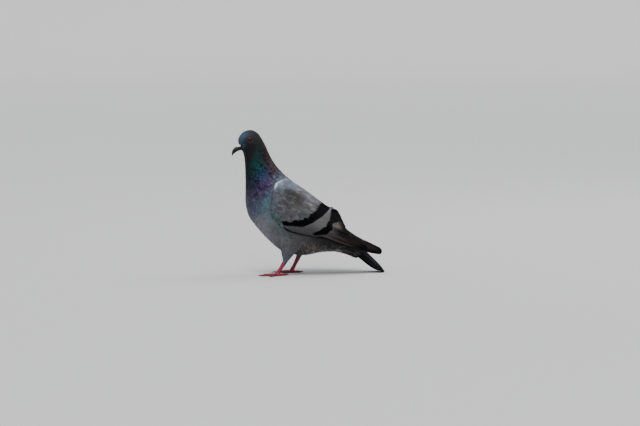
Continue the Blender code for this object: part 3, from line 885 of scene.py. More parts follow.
bodyCoat = {
    # station, space between rows, space across, overlap, width, sunk root, lifted tip, thickness
    "rows": (
        (0.1, 1.4, 1.4, 2.4, 1.5, 0.70, 0.05, 0.12),
        (4.5, 1.8, 1.8, 2.5, 1.5, 0.75, 0.07, 0.13),
        (7.0, 2.4, 2.6, 2.7, 1.6, 1.10, 0.12, 0.18),
        (9.5, 3.1, 3.1, 2.8, 1.6, 1.30, 0.12, 0.19),
        (12.0, 4.0, 3.8, 2.8, 1.6, 1.35, 0.11, 0.19),
        (19.0, 4.6, 4.2, 2.8, 1.6, 1.40, 0.12, 0.20),
    ),
    "regions": (  # name, first and last station, feather, slot, how much the feathers turn aside
        ("head_coat", -1, 5.7, "small", "head_feathers", 0.5),
        ("neck_coat", 5.7, 10.4, "contour", "neck_feathers", 0.5),
        ("breast_coat", 10.4, 13.4, "contour", "body_feathers", 1.0),
        ("rear_coat", 13.4, 20, "contour", "body_feathers", 1.0),
    ),
    "longestEdge": 4.2,
    "eyeClear": (4.7, 5.3, 4.9),  # from the eye to a root, to a tip before it is shortened, and after
}
eyeSpot = np.array((9.6, -94.4, 207.0))


def bodyRoots():
    roots = []
    rows = np.array(bodyCoat["rows"])
    station, odd = 0.12, False
    while station < 18.9:
        look = [np.interp(station, rows[:, 0], rows[:, c]) for c in range(1, 8)]
        side = bodyAt(np.array([station, station + 0.1]), np.array([1.5, 1.5]))
        speed = np.linalg.norm(side[1] - side[0]) / 0.1
        step = look[0] / speed
        angles = ringPlaces(station, look[1], odd)
        angles = angles + chance.normal(0, 0.16 * (angles[1] - angles[0]), len(angles))
        for angle in angles:
            here = bodyAt(np.array(station), np.array(angle))
            ahead = bodyAt(np.array(station + step), np.array(angle))
            gap = np.linalg.norm(ahead - here)
            roots.append((station + chance.normal(0, 0.17) * step, angle, step, gap, *look))
        station += step
        odd = not odd
    return np.array(roots)


def shown(roots, clear=1.7):  # drops roots that a wing or a thigh covers
    keep = []
    for place in bodyAt(roots[:, 0], roots[:, 1]) * mm:
        near, normal, _, distance = outside.find_nearest(Vector(place))
        keep.append(distance < clear * mm or (Vector(place) - near).dot(normal) > 0)
    return roots[np.array(keep)]


def makeBodyCoat():
    roots = shown(bodyRoots())
    station, angle, step, gap, rowGap, spacing, overlap, wide, sunk, lifted, thick = roots.T
    stretch = np.clip(gap / rowGap, 0.55, 1.5) / (gap / rowGap)  # crowded throat, open crown
    end = station + overlap * step * stretch * chance.normal(1, 0.10, len(roots))
    width = spacing * wide * np.clip(gap / rowGap, 0.75, 1.25)

    def overEye(turn, reach):  # whose point at this share of the length lies over the eye
        places = bodyAt(station + (end - station) * turn, np.abs(angle))
        return (np.abs(places[:, 0]) > 6) & (np.linalg.norm((places - eyeSpot)[:, 1:], axis=1) < reach)

    toRoot, toTip, after = bodyCoat["eyeClear"]
    covering = overEye(0.0, toRoot)
    for turn in (0.35, 0.7, 1.0):
        end = np.where(overEye(turn, toTip), station + (end - station) * 0.55, end)
    covering |= overEye(0.5, after) | overEye(1.0, after)
    for name, low, high, kind, slot, aside in bodyCoat["regions"]:
        chosen = (station >= low) & (station < high) & ~covering
        count = chosen.sum()
        start = np.stack([station[chosen], angle[chosen]], -1)
        stop = np.stack([end[chosen], angle[chosen] + chance.normal(0, 0.045, count) * aside], -1)
        sink = sunk[chosen][:, None]
        loose = lifted[chosen][:, None] * (0.6 + 0.9 * chance.random((count, 1)))

        def rise(y, x):
            return -sink * (1 - y) ** 1.1 + loose * y - 0.22 * sink * x**2 * (0.4 + y)

        batch = lay(feathers[kind], bodyAt, "body", start, stop, width[chosen], rise,
                    float(thick[chosen].mean()))
        count = unstretched(batch, bodyCoat["longestEdge"]).sum()
        luck = luckOf(batch, count)
        batch["gloss"] = neckGloss(batch["first"], batch["second"])
        gloss = batch["gloss"][..., None]
        # dark bases and bright tips give the scaled look of the neck: painted shade where each feather tucks
        # under the next and painted sheen on its tip, strongest where the neck shines
        depth = 0.10 + 0.75 * gloss
        shade = bodyTone(batch["first"], batch["second"])
        shade = shade * (1 - depth + depth * (0.35 + 1.05 * alongOf(batch)))
        own = 1 + (luck - 0.5) * (0.22 + 1.05 * gloss)
        hue = chance.normal(0, 1, (count, 1, 3)) * 0.05
        hue[..., 1] += chance.normal(0, 0.22, (count, 1)) * gloss.mean(1)
        batch["tone"] = shade * own * (1 + hue)
        least, most = start[:, 0].min(), start[:, 0].max()
        coatPiece(name, [batch], finishes["down"], slot, lambda start: np.stack(
            [start[:, 1] / (2 * math.pi) * 0.97 + 0.5,
             0.015 + 0.97 * (start[:, 0] - least) / (most - least)], -1))


makeBodyCoat()
print("body coat laid")

wisps = {
    # station low high, angle low high, how many a side, length, width, lift at the tip, droop, tones
    "groups": (
        (14.2, 16.3, 1.7, 2.5, 300, (10, 15), (0.6, 1.1), (0.05, 0.35), 0.21, "streaks"),  # flanks
        (13.6, 15.8, 2.3, 3.0, 140, (8, 12), (0.7, 1.2), (0.1, 0.5), 0.06, "streaks"),  # belly
        (16.3, 18.4, 1.7, 3.0, 150, (8, 12), (0.7, 1.2), (0.05, 0.5), 0.06, "streaks"),  # vent
        (15.0, 16.9, 2.15, 2.75, 90, (6, 10), (0.5, 0.9), (0.3, 1.1), 0.14, "pale"),  # the belly's fringe, painted near white for light shining through its wisps
    ),
    "thickness": 0.14,
    "odds": (0.3, 0.3, 0.2, 0.2),  # of the four tones
    "streaks": ((16, 15, 15), (30, 27, 27), (52, 47, 45), (124, 116, 110)),
    # near-white tones painted for light shining through the belly's fringe
    "pale": ((196, 203, 204), (226, 231, 231), (80, 82, 83), (243, 246, 246)),
}


def makeWisps():
    batches = []
    for low, high, turnLow, turnHigh, count, lengths, widths, lifts, droop, tones in wisps["groups"]:
        count *= 2
        station = chance.uniform(low, high, count)
        angle = chance.uniform(turnLow, turnHigh, count) * np.where(np.arange(count) % 2, 1, -1)
        roots = shown(np.stack([station, angle], -1))
        count = len(roots)
        speed = np.linalg.norm(bodyAt(roots[:, 0] + 0.1, roots[:, 1]) - bodyAt(*roots.T), axis=1) / 0.1
        length = chance.uniform(*lengths, count)
        down = chance.normal(droop, 0.035, count)
        stop = roots + np.stack([length * (1 - np.clip(down, 0, 0.5)) / speed,
                                 down * np.sign(roots[:, 1])], -1)
        lift = chance.uniform(*lifts, (count, 1))

        def rise(y, x):
            return 0.25 - 0.95 * (1 - y) ** 4 + lift * y**2 - 0.15 * x**2

        width = chance.uniform(*widths, count)
        batch = lay(feathers["wisp"], bodyAt, "body", roots, stop, width, rise, wisps["thickness"])
        count = unstretched(batch, bodyCoat["longestEdge"]).sum()
        picked = chance.choice(4, count, p=wisps["odds"])
        picked = np.array([tone(*rgb) for rgb in wisps[tones]])[picked]
        batch["tone"] = bodyTone(batch["first"], batch["second"]) * 0.5 + picked[:, None] * 0.5
        luckOf(batch, count)
        batches.append(batch)
    coatPiece("loose_feathers", batches, finishes["down"], "body_feathers",
              lambda start: np.stack([start[:, 1] / (2 * math.pi) + 0.5, (start[:, 0] - 13) / 6.2], -1))


makeWisps()


def drape(base, roots, flows, length, width, rise, thickness):  # feathers laid on the bird's whole outline
    count = len(roots)
    spots = np.empty((count, len(base["x"]), 3))
    ups = np.empty_like(spots)
    for index in range(count):
        root, flow = Vector(roots[index] * mm), Vector(flows[index])
        normal = outside.find_nearest(root)[1]
        along = (flow - normal * flow.dot(normal)).normalized()
        across = along.cross(normal)
        for number, (x, y) in enumerate(zip(base["x"], base["y"])):
            step = across * (x * width[index]) + along * (y * length[index])
            spots[index, number], ups[index, number] = outside.find_nearest(root + step * mm)[:2]
    ups = unit(ups + 2 * ups.mean(1, keepdims=True))
    top = spots / mm + ups * rise(base["y"][None, :], 2 * base["x"][None, :])[..., None]
    spot = base["spot"]
    points = top[:, spot] - ups[:, spot] * (base["under"] * base["thin"] * thickness)[None, :, None]
    return {"points": points, "base": base}


thighCoat = {
    "rises": (0, 15.8, 40.5),  # from the hem to the top
    "spacing": 2.7,
    "longestEdge": 3.4,
    "thickness": 0.20,
    # share of the way up, half length and half width of the thigh there
    "shares": (0, 0.2, 0.5, 1),
    "reach": (4, 7.5, 15, 22),
    "depth": (4, 7.5, 12, 20),
    "tone": tone(84, 83, 89),
    "hemTone": tone(82, 90, 104),
}


hem = {
    "above": 6.0,
    "radii": ((0, 3, 6, 9), (5.4, 4.5, 3.7, 3.3)),
    "rings": (0.4, 2.0, 3.4),
    "around": 12,
    "length": 4.2,
    "width": 2.9,
}


def hemAt(leg):  # a sleeve of feathers round the top of the bare leg, read downward
    def at(first, second):
        height = leg["hem"] + hem["above"] - first
        radius = np.interp(first, *hem["radii"])
        centre = np.stack([np.full(np.shape(first), leg["side"]),
                           leg["y"] + math.tan(leg["lean"]) * (height - footHeight), height], -1)
        return centre + radius[..., None] * np.stack([np.cos(second), -np.sin(second), 0 * second], -1)
    return at


def hemFeathers(leg):
    starts = []
    for number, first in enumerate(hem["rings"]):
        turns = np.linspace(0, 2 * math.pi, hem["around"] + 1)[:-1] + 0.26 * number
        turns = turns + chance.normal(0, 0.05, hem["around"])
        starts += [(first + chance.normal(0, 0.15), turn) for turn in turns]
    starts = np.array(starts)
    count = len(starts)
    stops = starts + np.stack([chance.normal(hem["length"], 0.35, count), chance.normal(0, 0.10, count)], -1)
    loose = (0.10 + 0.25 * chance.random(count))[:, None]

    def rise(y, x):
        return -0.7 * (1 - y) + loose * y - 0.10 * x**2

    width = chance.normal(hem["width"], 0.2, count)
    batch = lay(feathers["contour"], hemAt(leg), "leg", starts, stops, width, rise, thighCoat["thickness"])
    luck = luckOf(batch, count)
    batch["tone"] = thighCoat["hemTone"] * (0.75 + 0.3 * alongOf(batch)) * (0.8 + 0.4 * luck)
    batch["start"] = np.stack([starts[:, 1] / (2 * math.pi), 0.10 - 0.02 * starts[:, 0]], -1)
    return batch


def thighRoots(sign, low, high):  # spaced evenly over the thigh, with the lie, length and tone of each
    tree, tones, wingStart = markFinder()
    found, kept = [], {}
    for index in chance.permutation(len(outerPoints)):
        point = outerPoints[index] / mm
        share = (point[2] - low[2]) / (high[2] - low[2])
        axis = low + (high - low) * np.clip(share, 0, 1)
        away = abs(point[1] - axis[1]) / np.interp(share, thighCoat["shares"], thighCoat["reach"])
        near = abs(point[0] - axis[0]) / np.interp(share, thighCoat["shares"], thighCoat["depth"])
        if share < 0.0 or share > 1.25 or away > 1.35 or near > 1.25 or point[0] * sign < 4:
            continue
        mark = tree.find(Vector(point))[1]
        if mark >= wingStart:
            continue
        gap = thighCoat["spacing"] * (0.75 + 0.35 * min(share * 1.5, 1))
        cell = np.floor(point / gap).astype(int)
        around = (tuple(cell + np.array(shift) - 1) for shift in np.ndindex(3, 3, 3))
        if any(np.linalg.norm(point - other) < gap for place in around for other in kept.get(place, ())):
            continue
        kept.setdefault(tuple(cell), []).append(point)
        down = unit(low + (0, 0, -12) - point)
        back = unit(np.array([0.0, 1.0, -0.25]))
        lean = np.clip(1.35 - share * 0.9 - 0.35 * away, 0, 1)  # the lie turns down into the leg
        found.append((point, unit(down * lean + back * (1 - lean)),
                      np.interp(share, (0, 0.3, 1), (3.2, 5.6, 9.5)), tones[mark]))
    return (np.array(column) for column in zip(*found))


def makeThighCoat():
    for side, leg in legs.items():
        sign = 1 if leg["side"] > 0 else -1
        low = legLine(leg, leg["hem"])
        high = low + thighCoat["rises"]
        roots, flows, lengths, own = thighRoots(sign, low, high)
        count = len(roots)
        share = np.clip((roots[:, 2] - low[2]) / 30, 0, 1)
        sink = (0.5 + 0.9 * share)[:, None]
        loose = (0.1 + 0.35 * chance.random(count))[:, None]

        def rise(y, x):
            return -sink * (1 - y) ** 1.1 + loose * y - 0.12 * x**2

        batch = drape(feathers["contour"], roots, flows + chance.normal(0, 0.12, (count, 3)),
                      lengths * chance.normal(1, 0.1, count), lengths * 0.5 + 0.9, rise,
                      thighCoat["thickness"])
        fine = unstretched(batch, thighCoat["longestEdge"])  # the others would reach over to the wing
        roots, share, own = roots[fine], share[fine][:, None, None], own[fine][:, None]
        luck = luckOf(batch, len(roots))
        toHem = (1 - share) * 0.8
        shade = own * share + thighCoat["tone"] * (1 - share)
        shade = shade * (1 - toHem) + thighCoat["hemTone"] * toHem
        batch["tone"] = shade * (0.82 + 0.26 * alongOf(batch)) * (0.84 + 0.32 * luck)
        turn = np.arctan2(roots[:, 1] - high[1], (roots[:, 0] - low[0]) * sign)
        batch["start"] = np.stack([turn / (2 * math.pi) + 0.5, 0.12 + (roots[:, 2] - low[2]) / 60], -1)
        coatPiece("thigh_coat_" + side, [batch, hemFeathers(leg)], finishes["down"], "body_feathers",
                  lambda start: start)


makeThighCoat()
print("thigh coats laid")


wingCoat = {
    # tips of the small coverts
    "rows": (0.06, 0.12, 0.19, 0.26, 0.34, 0.42, 0.505, 0.59, 0.685, 0.785, 0.89, 1.0),
    "spacing": (3.3, 6.0),
    "lastSpacing": 3.1,
    "sunk": 1.35,
    "lifted": 0.06,
    "thickness": 0.17,
    "longThickness": 0.42,
    "barScale": {"coverts": 24.0, "flight": 22.0},  # millimetres a station
    "small": {"closest": (2.4, 1.3), "overlap": 2.7, "stubby": 1.7, "width": (1.35, 1.6)},
    "scapulars": {"rows": (-0.035, 0.014), "spacing": 3.2, "length": 10.5, "width": 6.6, "sunk": 1.2,
                  "lifted": 0.15, "hidden": ((0.5, 1.2, 2.3, 3.0), (0.9, 0.3, 0.1, -0.35))},
    "greater": {"spacing": 5.2, "width": 9.6, "sunk": 1.25, "lifted": 0.12, "tilt": 0.45, "longer": 0.45,
                "lower": (0.60, 0.16)},
    # depth of the sunk root, depth under the coverts, tilt of the outer edge
    "lies": {
        "secondaries": (0.9, 1.0, 0.7),
        "tertials": (1.0, 0.35, 0.5),
        "primaries": (0.6, 1.7, 0.8),
        "edge": (0.3, 0.25, 0.5),
    },
    "paleEdge": tone(48, 41, 39),
    # dark outer primaries along the wing's lower edge, their tone partly their own and partly painted shadow
    # under the wing
    "lowerEdgeShadowTone": tone(24, 22, 22),
    # root station and share, tip station and share, width
    "secondaries": (
        (2.0, 0.97, 6.1, 0.93, 10.0), (2.2, 0.91, 6.5, 0.84, 11.0), (2.5, 0.84, 6.8, 0.74, 11.5),
        (2.8, 0.77, 6.95, 0.63, 12.0), (3.0, 0.69, 7.0, 0.52, 12.0), (3.2, 0.60, 6.95, 0.42, 12.5),
        (3.4, 0.51, 6.8, 0.33, 12.5), (3.5, 0.42, 6.5, 0.25, 13.0),
    ),
    "tertials": (
        (3.5, 0.40, 5.6, 0.33, 15.0), (3.6, 0.28, 5.45, 0.19, 15.0), (3.6, 0.16, 5.5, 0.09, 14.0),
        (3.6, 0.06, 5.35, 0.03, 12.0),
    ),
    "edge": (
        (0.35, 0.985, 2.6, 1.02, 3.4), (1.3, 1.005, 4.2, 1.0, 5.0), (2.8, 1.005, 6.2, 1.0, 5.4),
        (4.6, 1.0, 7.8, 0.99, 4.4),
    ),
    "primaries": (
        (1.5, 1.03, 7.2, 0.98, 7.0), (2.2, 1.03, 8.2, 0.95, 7.5),
        (4.0, 0.98, 8.98, 0.80, 8.5), (4.1, 0.93, 9.02, 0.58, 9.5), (4.2, 0.88, 9.02, 0.38, 10.0),
        (4.3, 0.83, 9.0, 0.20, 10.0), (4.4, 0.74, 8.82, 0.06, 10.5), (4.5, 0.64, 8.5, 0.02, 11.0),
        (4.6, 0.52, 8.15, 0.02, 11.5), (4.7, 0.38, 7.75, 0.03, 12.0), (4.8, 0.26, 7.3, 0.03, 12.0),
    ),
}


def placesAlong(line, spacing, shifted):  # shares spaced evenly along a line of tips
    shares = np.linspace(0.0, 1.0, 161)
    lengths = runOf(wingAt(line(shares), shares))
    count = int(lengths[-1] / spacing)
    steps = (np.arange(count) + (0.75 if shifted else 0.25)) * lengths[-1] / count
    return np.interp(steps, lengths, shares)


def wingSpeed(station, share):  # millimetres for one station
    return np.linalg.norm(wingAt(station + 0.05, share) - wingAt(station - 0.05, share), axis=-1) / 0.1


def wingBatch(kind, roots, tips, width, sunk, lifted, tilt, thickness=wingCoat["thickness"], hidden=0.0):
    count = len(roots)
    loose = lifted * (0.6 + 0.8 * chance.random((count, 1)))

    def rise(y, x):
        return (-sunk * (1 - y) ** 1.15 + loose * y + tilt * x * 0.5 * (1 - 0.6 * y**3) - 0.16 * x**2
                - hidden * (1 - 0.85 * y**3))

    batch = lay(feathers[kind], wingAt, "wing", roots, tips, width, rise, thickness)
    return batch, luckOf(batch, count)


def smallCoverts():
    places, widths = [], []
    rows, look = wingCoat["rows"], wingCoat["small"]
    most, least = look["closest"]
    for number, share in enumerate(rows):
        before = rows[number - 1] if number else 0.0
        spacing = np.interp(share, (0, 1), wingCoat["spacing"]) if share < 1 else wingCoat["lastSpacing"]
        for q in placesAlong(lambda s: barLine("firstFront", s) * share, spacing, number % 2 == 1):
            tip = barLine("firstFront", q + 0.045) * share
            gap = (share - before) * barLine("firstFront", q) * wingSpeed(1.0, q)
            if (gap < most and number % 2) or (gap < least and number % 4):  # crowded rows are thinned
                continue
            length = max(look["overlap"] * max(gap, most), spacing * look["stubby"])
            slip = chance.normal(0, 0.5)
            root = tip - length / wingSpeed(tip, q)
            slide = chance.normal(0, 0.08) * spacing / 90
            further = slip * 0.03 * min(1, share * 4) * (share < 0.95) + (0.10 if share < 0.1 else 0.0)
            places.append((max(root, -0.10) + slip * 0.02, q + slide,
                           tip + further, q + slide + chance.normal(0.012, 0.012)))
            widths.append(spacing * chance.uniform(*look["width"]))
    places = np.array(places)
    batch, luck = wingBatch("covert", places[:, :2], places[:, 2:], np.array(widths), wingCoat["sunk"],
                            wingCoat["lifted"], 0.0)
    # each covert darkens toward its root, a painted shade in the gaps between the coverts; the luck factor is
    # their own random tone
    shade = wingTone(batch["first"], batch["second"]) * (0.62 + 0.44 * alongOf(batch)) * (0.68 + 0.64 * luck)
    batch["tone"] = shade * (1 + chance.normal(0, 0.04, (len(places), 1, 3)))
    return batch


def scapulars():  # two rows along the wing's upper edge, over its seam with the back
    look = wingCoat["scapulars"]
    roots = []
    for share in look["rows"]:
        station = 0.6 + 2 * share
        while station < 4.35 + 8 * share:
            roots.append((station + chance.normal(0, 0.02), share + chance.normal(0, 0.005)))
            station += look["spacing"] / wingSpeed(station, 0.0)
    roots = np.array(roots)
    count = len(roots)
    reach = chance.normal(look["length"], 0.6, count) / wingSpeed(roots[:, 0], 0.0)
    tips = roots + np.stack([reach, chance.normal(0.012, 0.008, count)], -1)
    hidden = np.interp(roots[:, 0], *look["hidden"])[:, None]  # the first ones slip out from under the back
    batch, luck = wingBatch("covert", roots, tips, chance.normal(look["width"], 0.4, count), look["sunk"],
                            look["lifted"], 0.0, hidden=hidden)
    batch["tone"] = wingTone(batch["first"], batch["second"]) * (0.74 + 0.36 * luck)
    batch["band"] = barEdge(batch["first"], np.clip(batch["second"], 0, 1)) * wingCoat["barScale"]["coverts"]
    return batch


def greaterCoverts():
    look = wingCoat["greater"]
    shares = placesAlong(lambda s: barLine("secondFront", s), look["spacing"], False) * 0.965
    roots = np.stack([np.maximum(barLine("firstFront", shares) - 0.30, 0.2), shares - 0.01], -1)
    longer = look["longer"] * ramp(shares, *look["lower"])  # the lower ones end black
    tips = np.stack([barLine("secondFront", shares) + longer + chance.normal(0, 0.02, len(shares)),
                     shares + 0.012], -1)
    # laid backwards, as the inner ones lie on the outer ones
    batch, luck = wingBatch("greater", roots[::-1], tips[::-1], np.full(len(shares), look["width"]),
                            look["sunk"], look["lifted"], look["tilt"])
    first, second = batch["first"], batch["second"]
    inside = np.clip(second, 0, 1)
    past = first - barLine("secondRear", inside)
    tail = barLine("secondFront", inside) - first + np.where(inside > 0.58, 0.0, 9.0)
    after = np.where(past > -0.03, past, -9.0)
    toBar = np.minimum(first - barLine("firstRear", inside), np.maximum(tail, after))
    batch["band"] = toBar * wingCoat["barScale"]["coverts"]
    batch["tone"] = wingTone(first, second) * (0.93 + 0.14 * luck)
    return batch


def longFeathers(name):
    table = np.array(wingCoat[name])
    sunk, hidden, tilt = wingCoat["lies"][name]
    batch, luck = wingBatch("flight", table[:, 0:2], table[:, 2:4], table[:, 4], sunk, 0.0, tilt,
                            wingCoat["longThickness"], hidden)
    if name == "edge":
        # partly the feathers' own dark and partly painted shadow under the wing
        batch["tone"] = wingCoat["lowerEdgeShadowTone"] * (0.8 + 0.5 * luck)
        return batch
    # the outer vane wears a paler brown edge
    worn = ramp(batch["base"]["share"][None, :, None], 0.25, 0.5)
    worn = worn * ramp(alongOf(batch), 0.97, -0.2) * (0.25 + 0.5 * luck)
    batch["tone"] = wingTone(batch["first"], batch["second"]) * (1 - worn) + wingCoat["paleEdge"] * worn
    if name != "primaries":
        second = np.clip(batch["second"], 0, 1)
        batch["band"] = (batch["first"] - barLine("secondRear", second)) * wingCoat["barScale"]["flight"]
    return batch


def columns(*batches):  # long feathers stand side by side on their map
    total = sum(len(batch["start"]) for batch in batches)
    number = 0
    for batch in batches:
        count = len(batch["start"])
        batch["spots"] = np.stack([(number + np.arange(count) + 0.5) / total, np.full(count, 0.5)], -1)
        batch["patch"] = (0.92 / total, 0.94)
        number += count


def makeWings():
    small, upper, greater = smallCoverts(), scapulars(), greaterCoverts()
    secondaries, tertials, primaries, edge = (
        longFeathers(name) for name in ("secondaries", "tertials", "primaries", "edge"))
    columns(greater)
    columns(secondaries, tertials)
    columns(primaries, edge)
    for side in ("left", "right"):
        for name, laid, kind, slot in (
                ("coverts_", [small, upper], "covert", "wing_coverts"),
                ("greater_coverts_", [greater], "covert", "wing_coverts"),
                ("secondaries_", [secondaries, tertials], "flight", "flight_feathers"),
                ("primaries_", [primaries, edge], "flight", "flight_feathers")):
            wing = coatPiece(name + side, laid, finishes[kind], slot, lambda start: np.stack(
                [start[:, 0] / 4.8 + 0.04, start[:, 1] * 0.9 + 0.06], -1), side == "right")
        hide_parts("flight_feathers_" + side)


makeWings()
print("wings laid")


tail = {
    "places": (1.0, 0.82, 0.63, 0.45, 0.27, 0.09),  # of the pairs, from the outside in
    "rootSpread": 0.55,
    "spread": 0.84,
    "round": 0.16,
    "outer": (0.35, 0.35),
    "width": 12.5,
    "thickness": 0.40,
    "lowest": -1.7,  # of the outer feathers, under the middle ones
    "stacked": 1.6,
    "bandStart": 0.76,
    "tone": tone(50, 51, 57),  # of the middle feathers, lighter than the outer ones by a painted sheen
    "outerTone": tone(27, 26, 32),
    "band": tone(3, 3, 4),
}


def makeTail():
    order = np.array([share * sign for share in tail["places"] for sign in (-1, 1)])
    count = len(order)
    start = np.stack([np.full(count, 0.2), order * tail["rootSpread"]], -1)
    stop = np.stack([4.0 - tail["round"] * np.abs(order) ** 2, order * tail["spread"]], -1)
    heights = (tail["lowest"] + tail["stacked"] * (np.repeat(np.arange(6), 2) / 5.0))[:, None]

    def rise(y, x):
        return heights - 0.25 * (1 - y) - 0.18 * x**2

    batch = lay(feathers["flight"], tailAt, "tail", start, stop, np.full(count, tail["width"]), rise,
                tail["thickness"])
    along = alongOf(batch)
    luck = luckOf(batch, count)
    dark = 1 / (1 + np.exp(-(along - tail["bandStart"]) / 0.02))
    outer = ramp(np.abs(order), *tail["outer"])[:, None, None]
    # the middle feathers are painted lighter than the outer ones as a sheen; the outer ones darken toward the
    # tip
    plain = tail["tone"] * (1 - outer) + tail["outerTone"] * outer * (1.25 - 1.1 * along)
    batch["tone"] = (plain * (1 - dark) + tail["band"] * dark) * (0.9 + 0.2 * luck)
    columns(batch)
    piece = coatPiece("tail_feathers", [batch], finishes["flight"], "tail_feathers", floor=0.05)
    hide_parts("tail")


makeTail()
print("tail laid")


eye = {
    "radii": (3.4, 4.4, 4.4),
    "cornea": 0.30,
    "turn": math.radians(10),  # toward the bill
    "ring": 4.5,
    "lid": 0.42,
    "closing": (0.10, 0.16, 0.10),  # how far the lids draw in: all round, above, below
    "outward": 1.75,
    "bend": 0.35,
}


def eyeFinish():
    finish = Finish("eye", Roughness=0.15, Coat_Weight=0.20, Coat_Roughness=0.03, Specular_IOR_Level=0.1)
    place = finish.node("VectorMath", {"operation": "ABSOLUTE"}, {0: finish.place()})
    # y is negative on the bird, so its size is compared
    centre = [abs(number) * mm for number in eyeSpot]
    off = finish.node("VectorMath", {"operation": "SUBTRACT"}, {0: place, 1: centre})
    axis = (math.cos(eye["turn"]), math.sin(eye["turn"]), 0)
    cross = finish.node("VectorMath", {"operation": "CROSS_PRODUCT"}, {0: off, 1: axis})
    away = finish.node("VectorMath", {"operation": "LENGTH"}, {0: cross}, "Value") / (eye["radii"][1] * mm)
    streaks = finish.noise(1500, 4, off)
    ring = away + (streaks - 0.5) * 0.10
    colour = finish.node("ValToRGB", {"stops": (
        (0.0, (0.002, 0.002, 0.003)), (0.45, (0.002, 0.002, 0.003)), (0.49, tone(66, 28, 16)),
        (0.58, tone(70, 17, 15)), (0.74, tone(62, 11, 13)), (0.90, tone(36, 8, 9)),
        (0.97, tone(16, 7, 8)), (1.0, (0.006, 0.005, 0.005)))}, {0: ring})
    finish.set(Base_Color=colour)
    return finish.material


def lidFinish():
    finish = Finish("bare skin round the eye", Roughness=0.6)
    wrinkle = finish.noise(2600, 3)
    finish.set(Base_Color=finish.mix(wrinkle, tone(16, 13, 14), tone(38, 31, 33)))
    finish.bump(wrinkle, 0.5, 0.0002)
    return finish.material


def newBall():
    only()
    bpy.ops.mesh.primitive_uv_sphere_add(segments=40, ring_count=28, radius=1, location=(0, 0, 0))
    return added()


def setEye(obj, points, sign):  # turned toward the bill and put in the head
    c, s = math.cos(eye["turn"]), math.sin(eye["turn"]) * sign
    x, y, z = points.T
    centre = Vector(eyeSpot * (sign, 1, 1)) * mm
    movePoints(obj, np.stack([x * c + y * s, -x * s + y * c, z], -1) + np.array(centre))
    pick(obj, lambda co: True)
    bpy.ops.mesh.normals_make_consistent(inside=False)
    smoothed(obj, 180)


def makeEyes():
    ball, lids = eyeFinish(), lidFinish()
    around, thick = eye["ring"] * mm, eye["lid"] * mm
    for side, sign in (("left", 1), ("right", -1)):
        globe = newBall()
        points = pointsOf(globe)[:, [2, 0, 1]] * (sign, 1, 1)  # poles turned to face sideways
        out = np.clip(points[:, 0] * sign, 0, 1)
        points *= np.array(eye["radii"]) * mm
        points[:, 0] += sign * eye["cornea"] * mm * ramp(out, 0.55, 0.45) ** 1.5
        setEye(globe, points, sign)
        named(globe, "eyeball_" + side, ball, "eye", "eye_" + side)
        only()
        bpy.ops.mesh.primitive_torus_add(major_segments=64, minor_segments=14, major_radius=around,
                                         minor_radius=thick, location=(0, 0, 0))
        ring = added()
        points = pointsOf(ring)[:, [2, 0, 1]] * (sign, 1, 1)
        height = points[:, 2] / around
        inner = ramp(np.hypot(points[:, 1], points[:, 2]), around, -thick)
        most, above, below = eye["closing"]
        closing = most + above * np.clip(height, 0, 1) ** 1.4 + below * np.clip(-height, 0, 1)
        points[:, 1:] *= (1 - inner * closing)[:, None]  # the lids draw in over the ball
        points[:, 0] *= 0.8
        points[:, 0] += sign * (eye["outward"] - eye["bend"] * (np.abs(points[:, 1]) / around) ** 2) * mm
        setEye(ring, points, sign)
        named(ring, "eyelid_" + side, lids, "eye")


makeEyes()
print("eyes set")


def hornFinish(name, dark, light, roughness):
    finish = Finish(name, Roughness=roughness, Specular_IOR_Level=0.25, Coat_Weight=0.05, Coat_Roughness=0.3)
    grain = finish.noise(700, 4)
    cloud = finish.noise(160, 2)
    finish.set(Base_Color=finish.mix(cloud * 0.6 + grain * 0.4, dark, light),
               Roughness=roughness + (grain - 0.5) * 0.3)
    finish.bump(grain, 0.25, 0.0002)
    return finish.material


def chalkFinish():
    finish = Finish("chalky cere", Roughness=0.9)
    grain = finish.noise(2200, 4)
    cloud = finish.noise(500, 2)
    chalk = finish.mix(cloud, tone(222, 219, 216), tone(252, 251, 249))
    finish.set(Base_Color=finish.mix(finish.attribute("slit"), chalk, tone(26, 22, 22)))
    finish.bump(grain, 0.5, 0.0002)
    return finish.material


def softCopy(name, finish, slot, voxel, rounds, swell, *replaced, fit=None):
    obj = rounded(copyOf(*replaced), voxel, rounds, swell)
    if fit is not None:  # what the rounding took off is put back
        points = pointsOf(obj) / mm
        low, high = (np.array(corner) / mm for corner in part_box(replaced[0]))
        low, high = low - fit, high + fit
        points = (points - points.min(0)) / (points.max(0) - points.min(0)) * (high - low) + low
        movePoints(obj, points * mm)
    smoothed(obj, 180)
    return named(obj, name, finish, slot, *replaced)


bill = {
    "voxel": 0.20,
    "swell": 0.5,
    "stout": 0.6,  # more of it toward the base, away from the mouth line
    "rounds": 36,
    "fit": 0.25,
    "lobe": (2.15, 3.3, 1.95),  # half width, half length, half height
    "aside": 1.75,
    "raised": 1.0,
    "back": 1.2,
    "slope": math.radians(24),
    "slit": {"height": -0.35, "half": 0.22, "starts": (0.5, 0.5), "ends": (3.2, -0.5), "depth": 0.45},
    "cereVoxel": 0.16,
    "cereRounds": 3,
}


